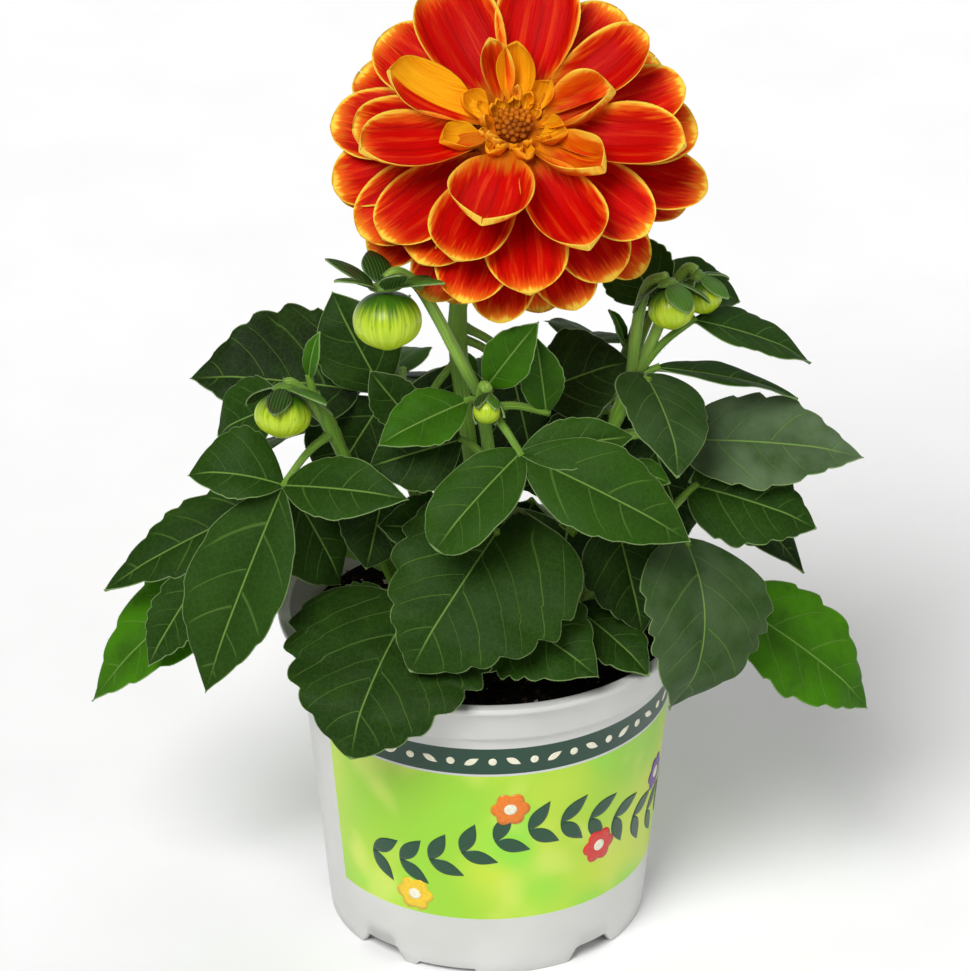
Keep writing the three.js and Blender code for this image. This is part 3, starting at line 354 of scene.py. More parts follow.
PETAL_RINGS = [
    dict(out=8, height=8, arch=-.04, form="petal", petals=[
        ray(13, 75, 43, 26), ray(58, 75, 42, 21), ray(105, 75, 47, 22), ray(155, 82, 46, 23),
        ray(192, 68, 42, 26), ray(249, 70, 44, 22), ray(283, 62, 36, 18), ray(330, 75, 43, 27)]),
    dict(out=9, height=4, arch=.02, form="backPetal", petals=[
        ray(-8, 84, 43, 24), ray(37, 84, 44, 24), ray(74, 87, 45, 24), ray(132, 88, 45, 24),
        ray(175, 93, 47, 26), ray(200, 84, 43, 25), ray(228, 93, 44, 24), ray(268, 84, 40, 24),
        ray(309, 86, 43, 26)]),
    dict(out=9, height=0, arch=.05, form="backPetal", petals=[
        ray(14, 96, 46, 26), ray(52, 97, 46, 26), ray(84, 94, 47, 26), ray(103, 100, 51, 24),
        ray(146, 100, 45, 25), ray(196, 98, 47, 25), ray(214, 94, 42, 24), ray(238, 98, 46, 26),
        ray(259, 102, 47, 26), ray(280, 98, 47, 26), ray(304, 101, 48, 26), ray(340, 97, 46, 26)]),
    dict(out=9, height=-3, arch=.06, form="underPetal", petals=ring_of(14, 4, ray(0, 110, 46, 22))),
    dict(out=8, height=-6, arch=.08, form="underPetal", petals=ring_of(9, 8, ray(0, 126, 42, 22))),
]
HEART = dict(out=9, height=7.4, arch=-.12, form="curledPetal", petals=[
    ray(-18, 42, 22, 10), ray(3, 40, 20, 12), ray(42, 46, 11, 8), ray(79, 62, 25, 19),
    ray(132, 62, 31, 16), ray(112, 44, 12, 9), ray(165, 42, 10, 7), ray(210, 40, 9, 6),
    ray(247, 64, 17, 10), ray(295, 46, 12, 8)])
# The petal with a broad yellow stripe, and the share of yellow in each inner petal
STRIPED_PETAL = 283
HEART_GOLD = (.28, 1.0, .8, .3, .36, 1.0, .7, .7, 1.0, .8)
# Short curled florets that stand between the heart petals
HEART_FLORETS = dict(out=7.0, height=7.4, arch=-.34, form="curledPetal", petals=[
    ray(angle + 10 * draw(), 36 + 24 * draw(), 6.2 + 2.6 * draw(), 3.2 + 1.0 * draw())
    for angle in evenly(19, 10)])

# Meshes


class Shell:
    """The points, faces and surface values of one piece, gathered part by part."""

    def __init__(self):
        self.points, self.faces, self.slots, self.values, self.count = [], [], [], {}, 0

    def add(self, points, faces, slot=0, **values):
        points = np.asarray(points, float).reshape(-1, 3)
        start, self.count = self.count, self.count + len(points)
        self.points.append(points)
        self.faces.extend([tuple(int(i) + start for i in face) for face in faces])
        self.slots.extend([slot] * len(faces))
        for name, value in values.items():
            self.values.setdefault(name, []).append((start, np.broadcast_to(value, len(points))))

    def piece(self, name, materials, *replaced, record_slot=None, smooth=True):
        """Makes the mesh object, lets it ride on the body and stand for its CAD nodes."""
        mesh = bpy.data.meshes.new(name)
        mesh.from_pydata((np.vstack(self.points) * MM).tolist(), [], self.faces)
        for value, parts in self.values.items():
            whole = np.zeros(self.count, np.float32)
            for start, part in parts:
                whole[start:start + len(part)] = part
            mesh.attributes.new(value, "FLOAT", "POINT").data.foreach_set("value", whole)
        for material in materials:
            mesh.materials.append(material)
        mesh.polygons.foreach_set("material_index", self.slots)
        mesh.polygons.foreach_set("use_smooth", [smooth] * len(self.faces))
        mesh.update()
        made = bpy.data.objects.new(name, mesh)
        bpy.context.scene.collection.objects.link(made)
        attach(made, "root")
        if replaced:
            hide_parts(*replaced)
        return made


def unit(v):
    """The vector scaled to length 1."""
    v = np.asarray(v, float)
    return v / np.linalg.norm(v)


def smooth_step(value, start, end):
    """0 before start, 1 after end, and a soft climb between them."""
    share = np.clip((value - start) / (end - start), 0, 1)
    return share * share * (3 - 2 * share)


def tube_faces(rings, sides, closed_ends=True):
    """Faces of a run of rings of points; the two points after them close its ends."""
    grid = np.arange(rings * sides).reshape(rings, sides)
    turned = np.roll(grid, -1, axis=1)
    corners = (grid[:-1], turned[:-1], turned[1:], grid[1:])
    faces = np.stack([corner.ravel() for corner in corners], 1).tolist()
    if closed_ends:
        last = rings * sides
        faces += [[last, turned[0, k], grid[0, k]] for k in range(sides)]
        faces += [[last + 1, grid[-1, k], turned[-1, k]] for k in range(sides)]
    return faces


def outline_share(form, s, t, seed):
    """Half width of a blade as a share of its widest, from base (0) to tip (1)."""
    rise, fall = form["rise"], form["fall"]
    widest = rise / (rise + fall)
    share = s**rise * (1 - s) ** fall / (widest**rise * (1 - widest) ** fall) + 0 * t
    if form["curl"] < 0:
        uneven = 1 + .03 * np.sin(6 * s + 11 * seed) * np.sign(t)
        share = share * (1 - .12 * smooth_step(s, .95, 1.0)) * uneven
    if form["teeth"]:
        drift = .3 * np.sin(9 * s + 7 * seed) + .37 * (t < 0) + seed
        u = (form["teeth"] * s + drift) % 1
        climb = np.sin(math.pi / 2 * u / TOOTH_PEAK)
        drop = np.cos(math.pi / 2 * (u - TOOTH_PEAK) / (1 - TOOTH_PEAK))
        depth = form["depth"] * smooth_step(s, .12, .4)
        share = share * (1 - depth + depth * np.where(u < TOOTH_PEAK, climb, drop))
    return share


def leaf_relief(s, t, offset, length, width, form, seed):
    """Quilting between the side veins, a waved margin and a grooved midrib, in millimetres."""
    size = width / 40
    phase = vein_count(s, t, offset, length, form)
    pillow = .5 - .5 * np.cos(2 * math.pi * phase)
    inside = (1 - np.abs(t) ** 4) * np.clip(np.abs(offset) / 4, 0, 1)
    waves = np.sin(2 * math.pi * (1.9 * s + seed + .31 * np.sign(t)))
    lazy = np.sin(2 * math.pi * (.8 * s + 1.7 * seed))
    ripple = np.abs(t) ** 2.5 * waves * np.sin(math.pi * s)
    groove = np.exp(-((offset / .8) ** 2))
    tip_droop = -2.4 * size * smooth_step(s, .7, 1.0)
    quilt = .45 * size * pillow * inside + 1.3 * size * ripple + .8 * size * lazy * t
    return quilt - .3 * groove + tip_droop


def petal_relief(s, t, offset, length, width, form, seed):
    """Spoon shape: two lengthwise ridges, rolled margins, a slightly lifted tip and a slight twist."""
    ridges = -.42 * np.cos(3 * math.pi * t) * np.sin(math.pi * np.clip(1.1 * s, 0, 1))
    roll = width * form["roll"] * (.5 * np.abs(t) ** 6 + .5 * np.abs(t) ** 3) * smooth_step(s, .05, .4)
    hollow = -.5 * form["roll"] * length * np.sin(math.pi * s) ** 2 * (1 - t * t)
    tip = length * (.02 + .03 * math.sin(23 * seed)) * smooth_step(s, .75, 1.0)
    twist = form["twist"] * math.sin(40 * seed) * offset * s
    waves = .3 * np.abs(t) ** 3 * np.sin(2 * math.pi * (1.6 * s + seed + .4 * np.sign(t)))
    return ridges + roll + hollow + tip + twist + waves


def plain_relief(s, t, offset, *_):
    """A faint lengthwise groove."""
    return -.15 * np.exp(-((offset / .7) ** 2)) + 0 * s


def vein_count(s, t, offset, length, form):
    """Counts the side veins, which curve towards the tip: one runs where this is a whole number."""
    slant = np.abs(offset) * (.55 + .45 * np.abs(t)) / length
    even = form["veins"] * (s - slant) + .21 * np.sign(offset)
    return even + .14 * np.sin(2.4 * even + np.sign(offset))


def blade_faces(rows, columns):
    """Faces of a closed blade: an upper grid, and a lower one that shares its two margins."""
    upper = np.arange(rows * columns).reshape(rows, columns)
    inner = rows * columns + np.arange(rows * (columns - 2)).reshape(rows, columns - 2)
    lower = np.hstack([upper[:, :1], inner, upper[:, -1:]])
    faces = []
    for grid, over in ((upper, True), (lower, False)):
        a, b, c, d = grid[:-1, :-1], grid[:-1, 1:], grid[1:, 1:], grid[1:, :-1]
        order = (a, b, c, d) if over else (a, d, c, b)
        faces.extend(np.stack([corner.ravel() for corner in order], 1).tolist())
    for k in range(columns - 1):
        foot = [upper[0, k], lower[0, k], lower[0, k + 1], upper[0, k + 1]]
        tip = [upper[-1, k], upper[-1, k + 1], lower[-1, k + 1], lower[-1, k]]
        faces.extend(list(dict.fromkeys(int(i) for i in ring)) for ring in (foot, tip))
    return faces


def add_blade(shell, base, one, thickness, half_columns, relief, slot, seed, tint=0.0, gold=0.0, down=0.0):
    """Adds one closed blade with a lens-shaped section; gold is its share of yellow, left and right."""
    form = FORMS[one["form"]]
    start, tip = np.array(base, float), np.array(one["tip"], float)
    length = np.linalg.norm(tip - start)
    along = unit(tip - start)
    start = start - BLADE_SINK * along
    face = np.array(one["face"], float)
    face = unit(face - face.dot(along) * along)
    side = np.cross(along, face)
    bend = (start + tip) / 2 + face * one["arch"] * length
    s = (1 - np.linspace(1, 0, form["rows"]) ** (1.25 if form["veins"] else 1.7))[:, None]
    rib = (1 - s) ** 2 * start + 2 * s * (1 - s) * bend + s**2 * tip
    run = (bend - start) * (1 - s) + (tip - bend) * s
    run = run / np.linalg.norm(run, axis=1, keepdims=True)
    up = np.cross(side, run)
    t = np.array([-c for c in reversed(half_columns[1:])] + list(half_columns))[None, :]
    half = np.maximum(.5 - .3 * s, one["width"] / 2 * outline_share(form, s, t, seed))
    reach = half * (1 + one["lop"] * np.sign(t))
    offset = t * reach
    height = reach * (form["fold"] * (np.sqrt(t * t + .01) - .1) - form["curl"] * t * t)
    height = height + relief(s, t, offset, length, one["width"], form, seed)
    swept = form["lobe"] * length * t * t * np.exp(-((s / .2) ** 2))
    middle = rib[:, None] + side * offset[..., None] + up[:, None] * height[..., None]
    middle = middle - run[:, None] * swept[..., None]
    thick = thickness / 2 * np.sqrt(1 - np.abs(t) ** 6) + 0 * s
    ridge = .55 * np.exp(-((offset / .9) ** 2)) * (1 - s) ** .6 if form["veins"] else 0
    top = middle + up[:, None] * thick[..., None]
    bottom = middle - up[:, None] * (thick + ridge)[..., None]
    rows, columns = offset.shape
    values = dict(
        along=s + 0 * t, offset=offset, rib=np.abs(offset), run=s * length + 0 * t, tint=tint + 0 * offset,
        edge=np.minimum(reach * (1 - np.abs(t)), (1 - s) * length * .45 + 0 * t), under=0 * offset,
        vein=vein_count(s, t, offset, length, form), fold=-np.cos(3 * math.pi * t) + 0 * s,
        gold=np.where(t < 0, *np.broadcast_to(gold, 2)) + 0 * s, down=down + 0 * offset,
    )
    values = {name: np.concatenate([v.ravel(), v[:, 1:-1].ravel() + (name == "under")])
              for name, v in values.items()}
    points = np.vstack([top.reshape(-1, 3), bottom[:, 1:-1].reshape(-1, 3)])
    shell.add(points, blade_faces(rows, columns), slot, **values)
    if form["veins"]:
        rims = np.vstack([middle[2:-1, 0], middle[2:-1, -1]])
        away = np.vstack([-side - .4 * up[2:-1], side - .4 * up[2:-1]])
        add_hairs(shell, rims, away, 2 * rows, MARGIN_HAIR, slot)


def add_hairs(shell, roots, outward, count, length, slot):
    """Adds short soft hairs, each a thin closed spike, at places picked among the roots."""
    for _ in range(count):
        k = int((draw() * .5 + .5) * (len(roots) - 1))
        stands = unit(outward[k] + .35 * np.array((draw(), draw(), draw())))
        side = unit(np.cross(stands, (.31, .52, .79)))
        turned = np.cross(stands, side)
        foot = roots[k] - .1 * stands
        ring = [foot + HAIR_RADIUS * (c * side + d * turned) for c, d in ((1, 0), (-.5, .87), (-.5, -.87))]
        tip = roots[k] + stands * length * (.8 + .3 * draw())
        shell.add([*ring, tip], [(0, 2, 1), (0, 1, 3), (1, 2, 3), (2, 0, 3)], slot, edge=0.0, rib=3.0,
                  along=1.0, offset=0.0, run=0.0, tint=.9)


def spline(points, s):
    """Points on the smooth curve through the given ones, for s from 0 to 1."""
    given = np.asarray(points, float)
    ends = np.vstack([2 * given[0] - given[1], given, 2 * given[-1] - given[-2]])
    place = np.atleast_1d(s) * (len(given) - 1)
    k = np.minimum(place.astype(int), len(given) - 2)
    w = (place - k)[:, None]
    before, first, second, after = ends[k], ends[k + 1], ends[k + 2], ends[k + 3]
    leave, arrive = .5 * (second - before), .5 * (after - first)
    square = -3 * first + 3 * second - 2 * leave - arrive
    cube = 2 * first - 2 * second + leave + arrive
    return first + leave * w + square * w**2 + cube * w**3


def add_tube(shell, points, radii, sides, steps, slot, tint=0.0, rough=0.0, hairs=0):
    """Adds a closed round tube along the smooth curve through the points, with some hairs on it."""
    s = np.linspace(0, 1, steps + 1)
    centre = spline(points, s)
    run = np.gradient(centre, axis=0)
    run = run / np.linalg.norm(run, axis=1, keepdims=True)
    chord = np.abs(np.asarray(points[-1], float) - np.asarray(points[0], float))
    across = np.cross(np.eye(3)[int(np.argmin(chord))], run)
    across = across / np.linalg.norm(across, axis=1, keepdims=True)
    upward = np.cross(run, across)
    radius = np.broadcast_to(radii(s), s.shape)
    angle = np.linspace(0, 2 * math.pi, sides, endpoint=False)
    circle = np.cos(angle)[:, None] * across[:, None] + np.sin(angle)[:, None] * upward[:, None]
    rings = centre[:, None] + circle * (radius[:, None] * (1 + rough * np.cos(5 * angle)))[..., None]
    length = np.linalg.norm(np.diff(centre, axis=0), axis=1).sum()
    along = np.concatenate([np.repeat(s, sides), [0, 1]])
    around = np.concatenate([np.tile(np.abs(angle - math.pi) * 2.2, steps + 1), [0, 0]])
    shell.add(np.vstack([rings.reshape(-1, 3), centre[0], centre[-1]]), tube_faces(steps + 1, sides), slot,
              along=along, offset=around, run=along * length, edge=3.0, rib=3.0, tint=tint)
    add_hairs(shell, rings[2:].reshape(-1, 3), circle[2:].reshape(-1, 3), hairs, STEM_HAIR, slot)


def add_turned(shell, rings, sides, slot=0, place=None, **values):
    """Adds a solid turned about Z from (radius, height) rings; its ends close on the axis."""
    angle = np.linspace(0, 2 * math.pi, sides, endpoint=False)
    points = [(r * math.cos(a), r * math.sin(a), z) for r, z in rings[1:-1] for a in angle]
    points = np.array(points + [(0, 0, rings[0][1]), (0, 0, rings[-1][1])])
    shell.add(place(points) if place else points, tube_faces(len(rings) - 2, sides), slot, **values)


# Bloom


def bloom_point(angle, out, height):
    """A point given by its angle from the bloom's top, its distance out and its height."""
    turn = math.radians(angle)
    radial = BLOOM_RIGHT * math.sin(turn) + BLOOM_UP * math.cos(turn)
    return BLOOM_CENTRE + radial * out + BLOOM_AXIS * height


def on_bloom_axis(points):
    """Turns points from +Z onto the bloom's axis."""
    basis = np.stack([BLOOM_RIGHT, BLOOM_UP, BLOOM_AXIS])
    return points @ basis + BLOOM_CENTRE


def add_petal(shell, petal, ring, thickness, columns, relief, slot, seed, **colouring):
    """Adds one petal or bract of a ring of the bloom."""
    tilt = math.radians(petal["lean"])
    base = bloom_point(petal["angle"], ring["out"], ring["height"])
    out = ring["out"] + petal["length"] * math.sin(tilt)
    tip = bloom_point(petal["angle"], out, ring["height"] + petal["length"] * math.cos(tilt))
    face = bloom_point(petal["angle"], -math.cos(tilt), math.sin(tilt)) - BLOOM_CENTRE
    one = blade(tip, face, petal["width"], ring["arch"], ring["form"])
    add_blade(shell, base, one, thickness, columns, relief, slot, seed, **colouring)


def make_bloom_rays(materials):
    """The ray petals in their rings, on a small core."""
    shell = Shell()
    core = [(0, -12), (9, -10.2), (12, -2), (12, 4), (9.5, BLOOM_CORE_TOP), (0, BLOOM_CORE_TOP)]
    add_turned(shell, core, 32, place=on_bloom_axis, along=.1, edge=6.0, tint=.5)
    for number, ring in enumerate(PETAL_RINGS):
        for k, petal in enumerate(ring["petals"]):
            seed = .37 * k + .71 * number
            tint = .5 + .5 * math.sin(7.3 * k + 2.1 * number)
            gold = (0, 1) if petal["angle"] == STRIPED_PETAL else 0
            add_petal(shell, petal, ring, PETAL_THICKNESS, PETAL_COLUMNS, petal_relief, 0, seed,
                      tint=tint, gold=gold)
    for k, petal in enumerate(HEART["petals"]):
        add_petal(shell, petal, HEART, PETAL_THICKNESS, PETAL_COLUMNS, petal_relief, 0, .53 * k,
                  tint=.17 * k, gold=HEART_GOLD[k])
    for k, petal in enumerate(HEART_FLORETS["petals"]):
        add_petal(shell, petal, HEART_FLORETS, PETAL_THICKNESS, PETAL_COLUMNS, petal_relief, 0, .61 * k,
                  tint=(.17 * k) % 1, gold=.7 + .3 * draw())
    return shell.piece("bloom_petals", materials, "bloom_rays", record_slot="petal")


def make_bloom_disc(materials):
    """The button of closed florets in the middle of the bloom."""
    shell = Shell()
    floor = BLOOM_CORE_TOP + .3
    dome = [(0, floor), (5.4, floor), (5.7, floor + 1.6), (3.6, floor + 3.0), (0, floor + 3.4)]
    add_turned(shell, dome, 24, place=on_bloom_axis, tint=0.0)
    for k in range(DISC_FLORETS):
        share = (k + .5) / DISC_FLORETS
        angle, radius = k * math.radians(FLORET_TURN), 5.7 * math.sqrt(share)
        height, size = floor + 3.7 * (1 - .45 * share), .95 + .12 * math.sin(5.1 * k)
        cosine, sine = math.cos(angle), math.sin(angle)

        def place(points, radius=radius, height=height, lean=.6 * share, cosine=cosine, sine=sine):
            x, y = points[:, 0] + lean * points[:, 2] + radius, points[:, 1]
            turned = [x * cosine - y * sine, x * sine + y * cosine, points[:, 2] + height]
            return on_bloom_axis(np.stack(turned, 1))

        floret = [(0, -1.2), (size * .7, -1.0), (size, 0.0), (size * .85, .55), (size * .4, .9), (0, .95)]
        add_turned(shell, floret, 10, place=place, tint=.35 + .65 * (k * .618 % 1))
    return shell.piece("bloom_florets", materials, "bloom_disc", record_slot="disc_floret")


def add_calyx(shell):
    """The green cup under the bloom, with its ring of turned-down bracts."""
    top = -BLOOM_CORE_RADIUS - .3
    foot = top - CALYX_DEPTH
    cup = [(0, foot), (BLOOM_STALK_RADIUS, foot), (5.2, foot + 1.6), (CALYX_RADIUS, top - .6),
           (CALYX_RADIUS - .4, top), (0, top)]
    add_turned(shell, cup, 24, slot=1, place=on_bloom_axis, tint=.2, edge=3.0)
    ring = dict(out=CALYX_RADIUS - 2, height=top - 1.6, arch=.08, form="bract")
    for k, angle in enumerate(evenly(5, 30)):
        add_petal(shell, ray(angle, 145, 16, 8), ring, LEAF_THICKNESS, BRACT_COLUMNS, plain_relief, 2,
                  .3 * k, tint=.2)


# Buds


def bud_frame(bud):
    """The bud's own axes: the way it points, its right and its front."""
    axis = unit(bud["points"])
    right = unit(np.cross((0, 0, 1), axis))
    return axis, right, np.cross(axis, right)


def bud_point(bud, turn, out, along):
    """A point given by its turn about the bud's axis, its distance from it and its place along it."""
    axis, right, front = bud_frame(bud)
    angle = math.radians(turn)
    return np.array(bud["centre"], float) + right * (out * math.cos(angle)) + (
        front * (out * math.sin(angle)) + axis * along)


def make_bud(name, bud, materials):
    """A bud ball of folded sepals: low ribs from cup to tip, and a small point at the bottom."""
    rows, sides = 26, 84
    v = np.linspace(0, math.pi, rows)[1:-1, None]
    angle = np.linspace(0, 2 * math.pi, sides, endpoint=False)[None, :]
    ribs = np.abs(np.cos(6 * angle + .35 * np.sin(v * 2) + bud["radius"])) ** .6
    out = bud["radius"] * np.sin(v) ** .85 * (.97 + .04 * ribs * smooth_step(v, .6, 2.4))
    point = .1 * np.exp(-(((v - math.pi) / .28) ** 2))
    along = bud["height"] / 2 * (-np.cos(v) + point) + 0 * angle
    axis, right, front = bud_frame(bud)
    points = np.array(bud["centre"], float) + (out * np.cos(angle))[..., None] * right + (
        out * np.sin(angle))[..., None] * front + along[..., None] * axis
    ends = [bud_point(bud, 0, 0, -bud["height"] / 2), bud_point(bud, 0, 0, bud["height"] / 2 * 1.1)]
    inner = rows - 2
    share = np.concatenate([np.repeat(v[:, 0] / math.pi, sides), [0, 1]])
    around = np.concatenate([np.tile(angle[0], inner) * bud["radius"] * .8, [0, 0]])
    shell = Shell()
    shell.add(np.vstack([points.reshape(-1, 3), ends]), tube_faces(inner, sides), along=share,
              offset=around, run=share * bud["height"], fold=np.concatenate([ribs.ravel(), [1, 1]]),
              tint=bud["radius"] / 10)
    return shell.piece(name + "_ball", materials, name, record_slot="bud")


def add_bud_cup(shell, bud, bracts):
    """The green cup that a bud hangs from, and the bracts round it."""
    top = -bud["height"] / 2 - .8
    radius = bud["radius"] * .5
    axis, right, front = bud_frame(bud)
    basis = np.stack([right, front, -axis])
    centre = np.array(bud["centre"], float)
    cup = [(0, -top), (radius * .9, -top), (radius, -top + .5), (radius * .75, -top + 1.6), (2, -top + 2.4),
           (0, -top + 2.6)]
    add_turned(shell, cup, 20, slot=1, place=lambda p: p @ basis + centre, tint=.3, edge=3.0)
    for k, one in enumerate(bracts):
        tilt = math.radians(one["lean"])
        out, along = radius - 1.2, top - .8
        base = bud_point(bud, one["turn"], out, along)
        tip = bud_point(bud, one["turn"], out + one["length"] * math.sin(tilt),
                        along + one["length"] * math.cos(tilt))
        away = bud_point(bud, one["turn"], math.cos(tilt), -math.sin(tilt)) - centre
        add_blade(shell, base, blade(tip, away, one["width"], .2, "bract"), LEAF_THICKNESS, BRACT_COLUMNS,
                  plain_relief, 2, .4 * k, tint=(.31 * k) % 1)


# Leafy shoots


def add_petiole(shell, start, end):
    """A leaf's stalk, from inside its stem to the foot of its blade."""
    start, end = np.array(start, float), np.array(end, float)
    reach = end - start
    middle = (start + end) / 2 + np.array((0, 0, PETIOLE_RISE * np.linalg.norm(reach)))
    end = end + unit(reach) * PETIOLE_TIP_RADIUS

    def stalk_radius(s):
        swell = .7 * np.exp(-((s / .12) ** 2))
        return PETIOLE_RADIUS + swell + (PETIOLE_TIP_RADIUS - PETIOLE_RADIUS) * s

    add_tube(shell, [start, middle, end], stalk_radius, 10, 16, 1, tint=.25, hairs=PETIOLE_HAIRS)


def make_shoot(name, shoot, materials):
    """A stem with its side stalks, leaves, bud cups and bracts."""
    shell = Shell()
    top = BLOOM_STALK_RADIUS if name == "bloom_shoot" else STEM_TOP_RADIUS
    places = np.array([one["at"] for one in shoot["leaves"]])

    def stem_radius(s):
        swell = np.exp(-(((s[:, None] - places[None, :]) / .03) ** 2)).max(1)
        closing = 1 if shoot["buds"] or name == "bloom_shoot" else 1 - .5 * smooth_step(s, .8, 1.0)
        return (STEM_RADIUS + (top - STEM_RADIUS) * s + .45 * swell) * closing

    add_tube(shell, shoot["stem"], stem_radius, 14, 48, 1, tint=.1, rough=.03, hairs=STEM_HAIRS)
    for points in shoot["stalks"]:
        add_tube(shell, points, lambda s: STEM_TOP_RADIUS - .2 * s, 12, 30, 1, tint=.5, rough=.03,
                 hairs=STALK_HAIRS)
    for number, one in enumerate(shoot["leaves"]):
        root = spline(shoot["stem"], one["at"])[0]
        add_petiole(shell, root, one["joint"])
        for k, part in enumerate(one["blades"]):
            seed = .43 * number + .29 * k + .11 * len(name)
            add_blade(shell, one["joint"], part, LEAF_THICKNESS, LEAF_COLUMNS, leaf_relief, 0, seed,
                      tint=one["tint"], down=one["down"])
    for bud, bracts in shoot["buds"].items():
        add_bud_cup(shell, BUDS[bud], bracts)
    if name == "bloom_shoot":
        add_calyx(shell)
    return shell.piece(name + "_foliage", materials, name, record_slot="foliage")


# Soil


def make_soil(materials):
    """A crumbly soil surface with lumps, on a plug that fills the pot's mouth."""
    rings, sides = 64, 190
    points = []
    for i in range(rings):
        r = SOIL_RADIUS * (i + 1) / rings
        for k in range(sides):
            a = 2 * math.pi * (k + .5 * (i % 2)) / sides
            x, y = r * math.cos(a), r * math.sin(a)
            coarse = noise.fractal(Vector((x / 9, y / 9, 3.1)), 1.0, 2.0, 4)
            fine = noise.noise(Vector((x / 1.6, y / 1.6, 7.7)))
            crown = SOIL_CROWN * (1 - (r / SOIL_RADIUS) ** 2)
            lift = (1.7 * coarse + .8 * fine) * min(1.0, (SOIL_RADIUS - r) / 3 + .15)
            points.append((x, y, SOIL_TOP + crown + lift))
    for k in range(sides):
        a = 2 * math.pi * (k + .5 * ((rings - 1) % 2)) / sides
        r = SOIL_FOOT_RADIUS
        points.append((r * math.cos(a), r * math.sin(a), SOIL_TOP - SOIL_DEPTH))
    points += [(0, 0, SOIL_TOP + SOIL_CROWN), (0, 0, SOIL_TOP - SOIL_DEPTH)]
    shell = Shell()
    shell.add(points, [face[::-1] for face in tube_faces(rings + 1, sides)])
    return shell.piece("soil_surface", materials, "soil", record_slot="potting_soil")


def make_crumbs(materials):
    """Crumbs of peat and bark and a few pale grains, half sunk in the soil."""
    rng = np.random.RandomState(5)
    shell = Shell()
    octa = np.array([(1, 0, 0), (-1, 0, 0), (0, 1, 0), (0, -1, 0), (0, 0, 1), (0, 0, -1)], float)
    sides = [(0, 2, 4), (2, 1, 4), (1, 3, 4), (3, 0, 4), (2, 0, 5), (1, 2, 5), (3, 1, 5), (0, 3, 5)]
    for _ in range(CRUMB_COUNT):
        r = SOIL_RADIUS * math.sqrt(rng.rand())
        a = rng.rand() * 2 * math.pi
        size = np.array((1.0, .6 + .4 * rng.rand(), .35 + .4 * rng.rand()))
        size = size * (.45 + 1.2 * rng.rand() ** 2.5)
        lump = octa * (1 + .25 * (rng.rand(6, 1) - .5)) * size
        spin, tip = rng.rand() * 2 * math.pi, rng.rand() * .8
        c, s = math.cos(spin), math.sin(spin)
        turn = np.array([(c, s, 0), (-s, c, 0), (0, 0, 1)])
        lean = np.array([(1, 0, 0), (0, math.cos(tip), math.sin(tip)), (0, -math.sin(tip), math.cos(tip))])
        crown = SOIL_CROWN * (1 - (r / SOIL_RADIUS) ** 2)
        centre = (r * math.cos(a), r * math.sin(a), SOIL_TOP + crown + .6)
        shell.add(lump @ lean @ turn + centre, sides, 1 if rng.rand() < PALE_GRAINS else 0, tint=rng.rand())
    return shell.piece("soil_crumbs", materials, record_slot="potting_soil", smooth=False)


# Pot


def body_radius(z):
    """Outer radius of the pot's body at a height."""
    share = z / (POT_COLLAR_BOTTOM - POT_COLLAR_STEP)
    return POT_FOOT_RADIUS + (POT_BODY_TOP_RADIUS - POT_FOOT_RADIUS) * share


def notch_height(angle):
    """How far the foot ring is cut up at an angle from the front, in degrees."""
    for at, width, height in FOOT_NOTCHES:
        away = abs((angle - at + 180) % 360 - 180)
        reach = math.radians(away) * POT_FOOT_RADIUS
        inside = width / 2 + .35 * height - reach
        if inside > 0:
            return min(height, inside / .35 * .5)
    return 0.0


